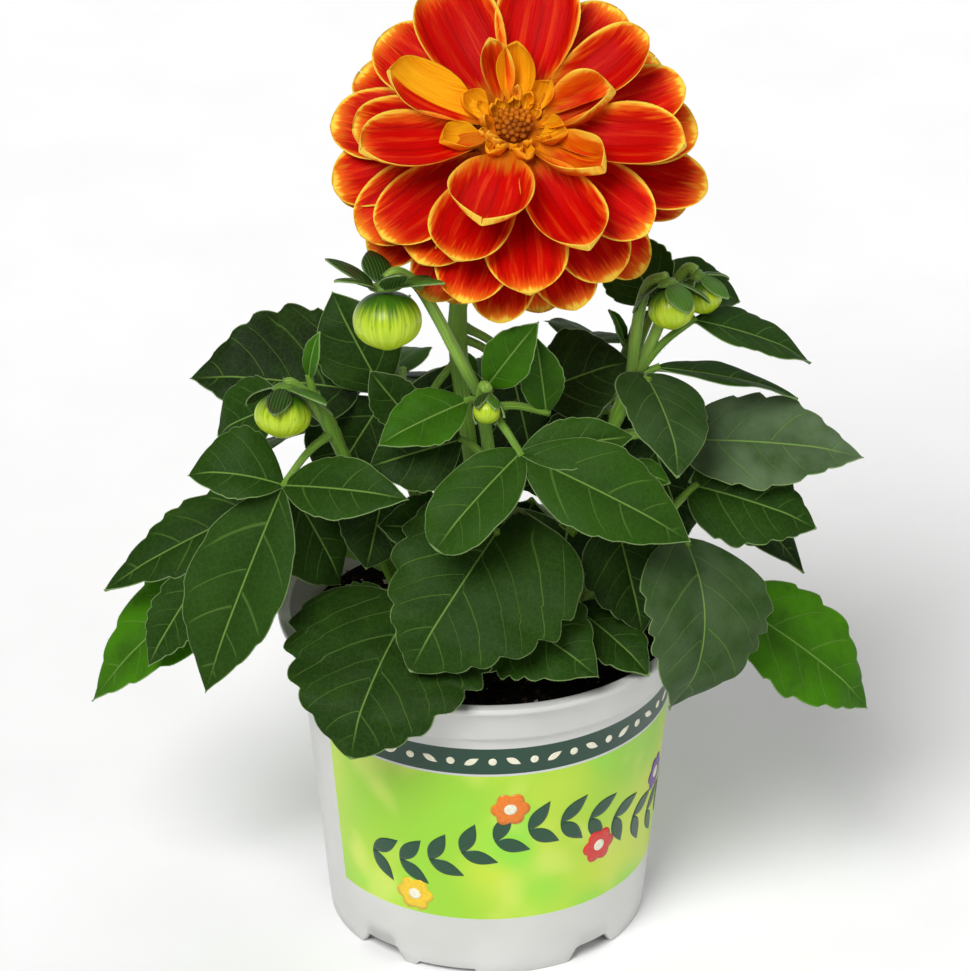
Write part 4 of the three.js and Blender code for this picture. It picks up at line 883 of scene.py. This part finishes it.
def make_pot(materials):
    """The moulded pot, turned with rounded edges, its foot cut by notches."""
    floor_top = POT_FLOOR_LIFT + POT_WALL
    lip_low = POT_HEIGHT - POT_LIP_HEIGHT
    inner = POT_FOOT_RADIUS - POT_FOOT_WIDTH
    top = POT_COLLAR_TOP_RADIUS
    body = POT_BODY_TOP_RADIUS
    # From the pad out, up the outside, over the lip and down the inside; printed where the third is 1
    profile = [
        (POT_PAD_RADIUS - .5, 0, 0), (POT_PAD_RADIUS + POT_PAD_SLOPE, POT_FLOOR_LIFT, 0),
        (inner - .2, POT_FLOOR_LIFT, 0), (inner, POT_FLOOR_LIFT - .2, 0), (inner, .3, 0),
        (inner + .3, 0, 0), (POT_FOOT_RADIUS - .3, 0, 0), (POT_FOOT_RADIUS, .3, 0),
        (body_radius(POT_FLOOR_LIFT), POT_FLOOR_LIFT, 0),
        *[(body_radius(z), z, 1) for z in range(12, 91, 6)],
        (body - .05, 90.2, 0), (body + .25, 90.9, 0),
        (POT_COLLAR_BOTTOM_RADIUS - .3, 91.7, 0), (POT_COLLAR_BOTTOM_RADIUS, 92.3, 0),
        (top - .1, lip_low - POT_LIP_SLOPE - .5, 0), (top + .4, lip_low - POT_LIP_SLOPE + .2, 0),
        (POT_RIM_RADIUS - .5, lip_low - .1, 0), (POT_RIM_RADIUS - .1, lip_low + .25, 0),
        (POT_RIM_RADIUS, lip_low + .7, 0), (POT_RIM_RADIUS, POT_HEIGHT - .7, 0),
        (POT_RIM_RADIUS - .2, POT_HEIGHT - .2, 0), (POT_RIM_RADIUS - .7, POT_HEIGHT, 0),
        (POT_LIP_INNER_RADIUS + .8, POT_HEIGHT, 0), (POT_LIP_INNER_RADIUS + .2, POT_HEIGHT - .2, 0),
        (POT_LIP_INNER_RADIUS - .1, POT_HEIGHT - .9, 0),
        (POT_COLLAR_BOTTOM_RADIUS - POT_WALL, POT_COLLAR_BOTTOM + POT_WALL, 0),
        (body_radius(POT_COLLAR_BOTTOM) - POT_WALL, POT_COLLAR_BOTTOM, 0),
        (body_radius(floor_top) - POT_WALL, floor_top, 0), (POT_PAD_RADIUS, floor_top, 0),
        (POT_PAD_RADIUS - POT_WALL, POT_WALL, 0),
    ]
    angles = [360 * k / POT_SIDES for k in range(POT_SIDES)]
    points, printed = [], []
    for r, z, inked in profile:
        foot = inner - .01 <= r <= POT_FOOT_RADIUS + .01 and z < .5
        for angle in angles:
            lift = notch_height(angle) if foot else 0
            a = math.radians(angle)
            points.append((r * math.sin(a), -r * math.cos(a), z + lift))
            bare = PRINT_END - 360 < angle < PRINT_START or PRINT_END < angle < PRINT_START + 360
            printed.append(0 if bare else inked)
    points += [(0, 0, 0), (0, 0, POT_WALL)]
    shell = Shell()
    shell.add(points, tube_faces(len(profile), POT_SIDES), height=np.array(points)[:, 2],
              printed=np.array(printed + [0, 0]))
    pot = shell.piece("pot_shell", materials, "pot", record_slot="pot_plastic")
    cut_drain_holes(pot)
    return pot


def cut_drain_holes(pot):
    """Cuts the round drain holes through the floor."""
    shell = Shell()
    for angle in evenly(DRAIN_HOLES, 180 / DRAIN_HOLES):
        a = math.radians(angle)
        centre = np.array((DRAIN_HOLE_CIRCLE * math.sin(a), -DRAIN_HOLE_CIRCLE * math.cos(a), 0))
        drum = [(0, 3), (DRAIN_HOLE_RADIUS, 3), (DRAIN_HOLE_RADIUS, 9), (0, 9)]
        add_turned(shell, drum, 24, place=lambda p, centre=centre: p + centre)
    cutter = shell.piece("drain_cutter", [])
    cut = pot.modifiers.new("drain_holes", "BOOLEAN")
    cut.object = cutter
    cut.operation = "DIFFERENCE"
    cut.solver = "EXACT"
    apply_modifiers(pot)
    bpy.data.objects.remove(cutter)


def apply_modifiers(piece):
    """Writes the piece's modifiers into its mesh."""
    graph = bpy.context.evaluated_depsgraph_get()
    mesh = bpy.data.meshes.new_from_object(piece.evaluated_get(graph))
    piece.modifiers.clear()
    piece.data = mesh


# Print on the pot: flat inked shapes wrapped onto the cone

PRINT_INKS = (("dark_green", "#1c4a30"), ("cream", "#f0ecd4"), ("yellow", "#f2c928"), ("orange", "#ea7d1e"),
              ("red", "#d8342c"), ("purple", "#6a3d8f"), ("blue", "#2c5fb0"))
PRINT_LIFT = .04
PRINT_THICKNESS = .06
# Each printed shape is made of rings of these sizes about its middle, so that it follows the round wall
PRINT_RINGS = (.35, .7, 1.0)
# Degrees between the garland's leaf pairs and between the dots, and how many waves the garland makes
GARLAND_STEP = 11.0
GARLAND_WAVES = 3.1
GARLAND_HEIGHT = 48
DOT_STEP = 6.5
DOT_HEIGHT = 82.2


def wrap(shell, outline, angle, height, slot, layer=0):
    """Adds a thin closed shape on the pot's side; the outline is in mm about its place."""
    outline = np.array(outline)
    middle = outline.mean(0)
    n = len(outline)
    flat = np.vstack([middle + (outline - middle) * share for share in PRINT_RINGS] + [middle[None]])
    rows = []
    for lift in (PRINT_LIFT + PRINT_THICKNESS, -.1):
        for u, v in flat:
            z = height + v
            r = body_radius(z) + lift + layer * PRINT_LIFT
            a = math.radians(angle) + u / body_radius(height)
            rows.append((r * math.sin(a), -r * math.cos(a), z))
    under = len(flat)
    centre, last = n * len(PRINT_RINGS), n * (len(PRINT_RINGS) - 1)
    faces = []
    for k in range(n):
        a, b = k, (k + 1) % n
        faces.append((centre, a, b))
        faces.append((under + centre, under + b, under + a))
        for first in range(0, last, n):
            faces.append((first + a, first + n + a, first + n + b, first + b))
            faces.append(tuple(under + i for i in (first + b, first + n + b, first + n + a, first + a)))
        faces.append((last + a, under + last + a, under + last + b, last + b))
    shell.add(rows, faces, slot)


def leaf_outline(length, width, turn):
    """A pointed oval, turned in its plane, that starts at its foot."""
    steps = 10
    shares = [k / steps for k in range(steps + 1)]
    upper = [(length * share, width / 2 * math.sin(math.pi * share**.85)) for share in shares]
    lower = [(u, -v) for u, v in reversed(upper[1:-1])]
    middle = length / 2
    c, s = math.cos(turn), math.sin(turn)
    return [((u - middle) * c - v * s, (u - middle) * s + v * c) for u, v in upper + lower]


def round_outline(radius, lobes=0, depth=0.0, steps=30):
    """A circle, or a blossom with rounded lobes."""
    shape = []
    for k in range(steps):
        a = 2 * math.pi * k / steps
        r = radius * (1 - depth + depth * abs(math.cos(lobes * a / 2)))
        shape.append((r * math.cos(a), r * math.sin(a)))
    return shape


def make_print(materials):
    """A loose garland of leaves and small blossoms, and dots along the band."""
    shell = Shell()
    dark, cream, first_colour = 0, 1, 2
    start, end = PRINT_START + 12, PRINT_END - 12
    for k in range(int((end - start) / GARLAND_STEP)):
        angle = start + GARLAND_STEP * (k + .5)
        swing = math.radians(angle * GARLAND_WAVES + 20)
        height = GARLAND_HEIGHT + 8.0 * math.sin(swing)
        slope = math.atan2(8.5 * math.radians(GARLAND_WAVES) * math.cos(swing), .95)
        for side in (-1, 1):
            turn = slope + side * .75
            u = 6.0 * math.cos(turn)
            v = 6.0 * math.sin(turn)
            shape = [(x + u, y + v) for x, y in leaf_outline(12.0, 5.0, turn)]
            wrap(shell, shape, angle, height, dark)
        if k % 3 == 1:
            colour = first_colour + (k // 3) % 5
            above = height + (12.0 if (k // 3) % 2 else -12.0)
            wrap(shell, round_outline(6.2, 6, .2, 48), angle + 5, above, colour, 1)
            wrap(shell, round_outline(2.0), angle + 5, above, cream, 2)
    for k in range(int((end - start) / DOT_STEP)):
        dot = round_outline(1.3, steps=16) if k % 2 else leaf_outline(5.2, 2.2, .5 if k % 4 else -.5)
        wrap(shell, dot, start + DOT_STEP * (k + .5), DOT_HEIGHT, cream)
    return shell.piece("pot_print", materials, record_slot="pot_plastic")


# Finishes


def linear(code):
    """An sRGB hex colour as linear light."""
    channels = [int(code[i:i + 2], 16) / 255 for i in (1, 3, 5)]
    return tuple(c / 12.92 if c <= .04045 else ((c + .055) / 1.055) ** 2.4 for c in channels) + (1.0,)


def add(tree, kind, feeds=(), out=0, **settings):
    """Adds one shader node with its settings, its input values and the sockets linked to it."""
    node = tree.nodes.new("ShaderNode" + kind)
    for name, value in settings.items():
        setattr(node, name, value)
    for key, value in dict(feeds).items():
        if isinstance(value, bpy.types.NodeSocket):
            tree.links.new(value, node.inputs[key])
        else:
            node.inputs[key].default_value = value
    return node.outputs[out] if node.outputs else None


def new_finish(name):
    """An empty material and its node tree."""
    material = bpy.data.materials.new(name)
    material.use_nodes = True
    material.node_tree.nodes.clear()
    return material, material.node_tree


def close_finish(tree, colour, relief=None, depth=.1, flesh=None, **constants):
    """Ends a material: colour and relief (its depth in mm) go to one shader with these constants;
    flesh is how much light goes through the skin and how far each colour of it goes, in mm."""
    feeds = {"Base Color": colour}
    if flesh:
        feeds["Subsurface Weight"] = flesh[0]
        feeds["Subsurface Scale"] = MM
        feeds["Subsurface Radius"] = flesh[1:]
    for name, value in constants.items():
        feeds[name.replace("_", " ").title().replace("Ior", "IOR")] = value
    if relief is not None:
        feeds["Normal"] = add(tree, "Bump", {"Strength": 1.0, "Distance": depth * MM, "Height": relief})
    add(tree, "OutputMaterial", {"Surface": add(tree, "BsdfPrincipled", feeds)})


def painted(tree, base, *coats):
    """A base colour under coats of colour, each laid on by its own share."""
    colour = linear(base) if isinstance(base, str) else base
    for share, code in coats:
        over = linear(code) if isinstance(code, str) else code
        colour = add(tree, "Mix", {0: share, 6: colour, 7: over}, 2, data_type="RGBA")
    return colour


def measured(tree, name, start, end, weight=1.0, shift=None):
    """Share that rises to the weight as a surface value, moved by a shift, goes from start to end."""
    value = add(tree, "Attribute", out="Fac", attribute_name=name)
    if shift is not None:
        value = add(tree, "Math", {0: value, 1: shift}, operation="ADD")
    return add(tree, "MapRange", {0: value, 1: start, 2: end, 4: weight}, interpolation_type="SMOOTHSTEP")


def patches(tree, size, low, high, weight=1.0, detail=3.0):
    """Share that comes and goes in soft patches about size millimetres across."""
    place = add(tree, "TexCoord", out="Object")
    cloud = add(tree, "TexNoise", {"Vector": place, "Scale": 1 / (size * MM), "Detail": detail})
    return add(tree, "MapRange", {0: cloud, 1: low, 2: high, 4: weight}, interpolation_type="SMOOTHSTEP")


def fibres(tree, width, length, low, high, weight=1.0):
    """Share that comes and goes in fibres that run along a blade; their size is in millimetres."""
    # A blade's tint also moves its fibres, so that no two blades share their pattern
    move = 37.0
    place = []
    for name, scale in (("offset", 1 / width), ("run", 1 / length), ("tint", move)):
        value = add(tree, "Attribute", out="Fac", attribute_name=name)
        place.append(add(tree, "Math", {0: value, 1: scale}, operation="MULTIPLY"))
    place = add(tree, "CombineXYZ", dict(enumerate(place)))
    cloud = add(tree, "TexNoise", {"Vector": place, "Scale": 1.0, "Detail": 3.0})
    return add(tree, "MapRange", {0: cloud, 1: low, 2: high, 4: weight}, interpolation_type="LINEAR")


def joined(tree, operation, first, *others):
    """One share made of several, by the sum, product, largest or smallest of them."""
    for other in others:
        first = add(tree, "Math", {0: first, 1: other}, operation=operation)
    return first


def leaf_finish():
    # Living leaf: waxy cuticle with short soft hairs, so a low gloss and a grey sheen at a slant;
    # veins pale and sunk, margin a thin pale line
    material, tree = new_finish("dahlia_leaf_cuticle")
    count = add(tree, "Attribute", out="Fac", attribute_name="vein")
    nearest = add(tree, "Math", {0: count, 1: .5}, operation="PINGPONG")
    side = add(tree, "MapRange", {0: nearest, 1: .045, 2: .01}, interpolation_type="SMOOTHSTEP")
    side = joined(tree, "MULTIPLY", side, measured(tree, "edge", .4, 5.0), measured(tree, "rib", .1, .5))
    midrib = joined(tree, "MULTIPLY", measured(tree, "rib", .42, .14), measured(tree, "along", 1.0, .7))
    place = add(tree, "TexCoord", out="Object")
    web = add(tree, "TexVoronoi", {"Vector": place, "Scale": 1 / (2.2 * MM)}, feature="DISTANCE_TO_EDGE")
    net = add(tree, "MapRange", {0: web, 1: .1, 2: 0.0}, interpolation_type="SMOOTHSTEP")
    blade_green = painted(
        tree, "#233f0d",
        # Tint coats, partly each leaf's own tone and partly painted light and shade: darker on leaves set
        # deep in the plant, brighter on some front ones
        (measured(tree, "tint", 0.0, -1.0), "#17240c"),
        (measured(tree, "tint", 0.0, 1.0), "#3f7806"),
        (patches(tree, 11.0, .4, .75, .45), "#2e4c10"),
        (patches(tree, 3.0, .5, .8, .25), "#1b330a"),
        # Painted shade: the blade darkens towards the midrib, in the crease of its fold
        (measured(tree, "rib", 9.0, 0.0, .3), "#1a330a"),
        # Painted grey sheen in soft patches, standing in for the sheen of hairs seen at a slant, on the
        # leaves given a share of it
        (joined(tree, "MULTIPLY", measured(tree, "down", 0.0, 1.0),
                patches(tree, 12.0, .1, .75, .7, 6.0)), "#6e8262"),
    )
    colour = painted(
        tree, blade_green,
        (joined(tree, "MULTIPLY", net, .1), "#4f7434"),
        (joined(tree, "MULTIPLY", side, .32), "#688f3c"),
        (joined(tree, "MULTIPLY", midrib, .55), "#86ad50"),
        (measured(tree, "edge", .42, .15, .6), "#94b070"),
        (measured(tree, "under", 0.0, 1.0, .5), "#55753a"),
    )
    relief = joined(tree, "ADD", joined(tree, "MULTIPLY", joined(tree, "MAXIMUM", side, midrib), -1.0),
                    joined(tree, "MULTIPLY", net, -.12), patches(tree, .8, .3, .7, .25))
    close_finish(tree, colour, relief, .18, roughness=.5, ior=1.4, specular_ior_level=.1,
                 sheen_weight=.01, sheen_roughness=.4, flesh=(.06, .8, 1.2, .3))
    return material


def stem_finish():
    # Green stem: fleshy skin, finely ribbed lengthwise, paler on the petioles and side stalks and darker
    # towards the foot of each stem and stalk
    material, tree = new_finish("dahlia_green_stem")
    streak = fibres(tree, .42, 14.0, .4, .7)
    colour = painted(tree, "#6c982a", (measured(tree, "tint", 0.0, .6), "#8eb548"),
                     (measured(tree, "along", .3, 0.0, .55, joined(tree, "MULTIPLY", streak, .1)),
                      "#3c5a1e"),
                     (joined(tree, "MULTIPLY", streak, .5), "#3f671a"))
    close_finish(tree, colour, streak, .2, roughness=.38, ior=1.4, specular_ior_level=.35,
                 sheen_weight=.04, sheen_roughness=.4, flesh=(.1, 1.0, 1.5, .4))
    return material


def bract_finish():
    # Bract: thin leaf with close parallel veins, flushed purple brown in places
    material, tree = new_finish("dahlia_bract_leaf")
    stripe = add(tree, "Math", {0: add(tree, "Attribute", out="Fac", attribute_name="offset"), 1: .5},
                 operation="PINGPONG")
    line = add(tree, "MapRange", {0: stripe, 1: .16, 2: .02}, interpolation_type="SMOOTHSTEP")
    colour = painted(tree, "#22400f", (measured(tree, "tint", .3, 1.0), "#44701f"),
                     (joined(tree, "MULTIPLY", line, .4), "#7fa256"),
                     (measured(tree, "edge", .5, .1, .5), "#9db878"),
                     (patches(tree, 7.0, .5, .75, .5), "#45301f"))
    close_finish(tree, colour, line, .12, roughness=.42, ior=1.4, specular_ior_level=.25,
                 flesh=(.06, .8, 1.2, .3))
    return material


def petal_finish():
    # Ray petal: velvety red flesh; its margin, tip and throat are yellow and run inward in fine fibres;
    # painted highlights lie on its ridges and painted shade in its grooves
    material, tree = new_finish("dahlia_ray_petal")
    coarse = fibres(tree, 1.1, 13.0, 0.0, 1.0)
    fine = fibres(tree, .4, 18.0, .3, .7)
    wander = add(tree, "MapRange", {0: coarse, 1: .25, 2: .75, 3: -2.2, 4: 2.2})
    small = joined(tree, "MULTIPLY", wander, .25)
    early = joined(tree, "MULTIPLY", wander, .04)
    red = painted(
        tree, "#c40300",
        (joined(tree, "MULTIPLY", fine, .35), "#d80c02"),
        # Painted highlight on the lengthwise ridges, and painted shade in the grooves between them
        (measured(tree, "fold", .6, 1.0, .55, joined(tree, "MULTIPLY", wander, .12)), "#ee4412"),
        (measured(tree, "fold", -.5, -1.0, .5), "#960000"),
        (measured(tree, "tint", .2, 1.0, .35), "#a80100"),
    )
    colour = painted(
        tree, red,
        (measured(tree, "edge", 4.6, .8, .45, wander), "#e8380a"),
        (measured(tree, "edge", 2.6, .2, .7, wander), "#ef6a14"),
        (measured(tree, "along", .88, 1.02, .8, early), "#f28a1c"),
        (measured(tree, "edge", 1.5, .3, .85, small), "#f79420"),
        (joined(tree, "MULTIPLY", measured(tree, "edge", 1.1, .3, .95, small),
                measured(tree, "along", .2, .9, 1.0)), "#fddc4c"),
        (measured(tree, "along", .3, .12, .9, early), "#c8720e"),
        (measured(tree, "gold", .2, .7, .97, joined(tree, "MULTIPLY", wander, .08)), "#f29a06"),
        (joined(tree, "MULTIPLY", measured(tree, "gold", .4, .9),
                joined(tree, "MULTIPLY", fine, .75)), "#fbc41e"),
        (measured(tree, "under", 0.0, 1.0, .3), "#d8701e"),
    )
    relief = joined(tree, "ADD", fine, joined(tree, "MULTIPLY", coarse, .8))
    close_finish(tree, colour, relief, .12, roughness=.5, ior=1.38, specular_ior_level=.12,
                 flesh=(.12, 1.6, .5, .2))
    return material


def floret_finish():
    # Disc floret: waxy closed tube, brown orange, some florets lighter than others
    material, tree = new_finish("dahlia_disc_floret")
    colour = painted(tree, "#7a3202", (measured(tree, "tint", 0.0, 1.0), "#cc7204"),
                     (patches(tree, 1.2, .5, .7, .5), "#7c3408"))
    close_finish(tree, colour, patches(tree, .6, .3, .7), .1, roughness=.4, ior=1.4,
                 specular_ior_level=.25, flesh=(.1, 1.0, .6, .2))
    return material


def bud_finish():
    # Bud: smooth waxy sepals pressed together, green at the cup and yellow green towards the tip
    material, tree = new_finish("dahlia_bud_sepal")
    streak = fibres(tree, .8, 9.0, .35, .65)
    colour = painted(
        tree, "#3f6c14",
        (measured(tree, "along", .3, .62, 1.0, joined(tree, "MULTIPLY", streak, .16)), "#a6c41e"),
        (joined(tree, "MULTIPLY", streak, measured(tree, "along", .2, .6, .6)), "#cbdc3c"),
        (measured(tree, "along", .78, 1.0, .6), "#8fb41e"),
        (measured(tree, "fold", .35, .05, .6), "#557f14"),
    )
    close_finish(tree, colour, streak, .1, roughness=.3, ior=1.42, specular_ior_level=.45,
                 flesh=(.15, 2.0, 2.0, .6))
    return material


def soil_finish():
    # Potting soil: moist peat and fine bark, nearly black and quite matt
    material, tree = new_finish("moist_peat_soil")
    colour = painted(tree, "#0b0805", (patches(tree, 3.0, .4, .75, .8, 6.0), "#241811"))
    close_finish(tree, colour, patches(tree, .9, .2, .8, 1.0, 5.0), .9, roughness=.92, ior=1.35,
                 specular_ior_level=.2)
    return material


def crumb_finish():
    # Bark crumb: broken, fibrous and brown
    material, tree = new_finish("composted_bark_crumb")
    colour = painted(tree, "#0d0906", (measured(tree, "tint", 0.0, 1.0), "#3a281c"))
    close_finish(tree, colour, patches(tree, .5, .3, .7), .2, roughness=.88, ior=1.35,
                 specular_ior_level=.25)
    return material


def grain_finish():
    # Perlite grain: expanded pale glass foam, chalky
    material, tree = new_finish("pale_perlite_grain")
    colour = painted(tree, "#8f8778", (patches(tree, .8, .3, .7), "#c2baaa"))
    close_finish(tree, colour, roughness=.8, ior=1.4)
    return material


def pot_finish():
    # Moulded polypropylene: white and satin, printed with a dark band and a soft green and yellow field
    material, tree = new_finish("moulded_white_polypropylene")
    print_share = {}
    for name, low, high in (("band", 77.4, 87.0), ("field", 21.5, 76.6)):
        print_share[name] = joined(
            tree, "MULTIPLY", measured(tree, "height", low - .05, low + .05),
            measured(tree, "height", high + .05, high - .05), measured(tree, "printed", .45, .55))
    green = painted(tree, "#9ad232", (patches(tree, 55.0, .38, .62, 1.0, 1.0), "#c9de3c"),
                    (patches(tree, 34.0, .5, .7, .9, 1.0), "#8fdc3c"),
                    (patches(tree, 21.0, .55, .75, .6, 1.0), "#d8e66a"))
    white = painted(tree, "#cbcbc8", (patches(tree, 30.0, .3, .7), "#d3d3d0"))
    colour = painted(tree, white, (print_share["field"], green), (print_share["band"], "#1d4233"))
    close_finish(tree, colour, patches(tree, 1.4, .3, .7), .01, roughness=.33, ior=1.49,
                 specular_ior_level=.45, flesh=(.05, 2.0, 2.0, 2.0))
    return material


def ink_finish(name, code):
    # Printing ink: thin, glossy and slightly uneven in cover
    material, tree = new_finish(name)
    darker = tuple(.85 * c for c in linear(code)[:3]) + (1.0,)
    colour = painted(tree, darker, (patches(tree, .9, .3, .6), code))
    close_finish(tree, colour, roughness=.32, ior=1.48)
    return material


def board_finish():
    # Studio board: white and matt
    material, tree = new_finish("white_studio_board")
    colour = painted(tree, "#f8f8f8", (patches(tree, 60.0, .3, .7), "#fbfbfb"))
    close_finish(tree, colour, roughness=.9)
    return material


# Studio


def stand(name, data, place, away):
    """Stands a lamp or camera at a place, looking against the given direction."""
    holder = bpy.data.objects.new(name, data)
    holder.location = place
    holder.rotation_euler = (-Vector(away)).to_track_quat("-Z", "Y").to_euler()
    bpy.context.scene.collection.objects.link(holder)
    return holder


def make_studio():
    """Pale floor, soft lights and the camera at the photograph's angle."""
    mesh = bpy.data.meshes.new("studio_floor")
    far = FLOOR_REACH
    mesh.from_pydata([(-far, -far, 0), (far, -far, 0), (far, far, 0), (-far, far, 0)], [], [(0, 1, 2, 3)])
    floor = bpy.data.objects.new("studio_floor", mesh)
    mesh.materials.append(board_finish())
    bpy.context.scene.collection.objects.link(floor)
    for name, place, strength, width in LAMPS:
        lamp = bpy.data.lights.new(name, "SUN")
        lamp.energy = strength
        lamp.angle = math.radians(width)
        stand(name, lamp, place, place)
    world = bpy.data.worlds.new("studio_world")
    world.use_nodes = True
    sky = world.node_tree.nodes["Background"].inputs
    sky[0].default_value = (1, 1, 1, 1)
    sky[1].default_value = SKY_STRENGTH
    scene = bpy.context.scene
    scene.world = world
    scene.view_settings.view_transform = "Standard"
    camera = bpy.data.cameras.new("camera")
    camera.lens = FOCAL_PIXELS / IMAGE_HEIGHT * SENSOR_WIDTH
    camera.sensor_width = SENSOR_WIDTH
    camera.clip_end = 50
    rise = math.radians(VIEW_ELEVATION)
    away = Vector((0, -math.cos(rise), math.sin(rise)))
    place = Vector(VIEW_TARGET) * MM + away * VIEW_DISTANCE * MM
    scene.camera = stand("camera", camera, place, away)


def make_object():
    """Every visible piece of the plant and its pot."""
    make_pot([pot_finish()])
    make_print([ink_finish(name + "_ink", code) for name, code in PRINT_INKS])
    make_soil([soil_finish()])
    make_crumbs([crumb_finish(), grain_finish()])
    foliage = [leaf_finish(), stem_finish(), bract_finish()]
    for name, shoot in SHOOTS.items():
        make_shoot(name, shoot, foliage)
    bud_skin = bud_finish()
    for name, bud in BUDS.items():
        make_bud(name, bud, [bud_skin])
    make_bloom_rays([petal_finish()])
    make_bloom_disc([floret_finish()])


make_studio()
make_object()
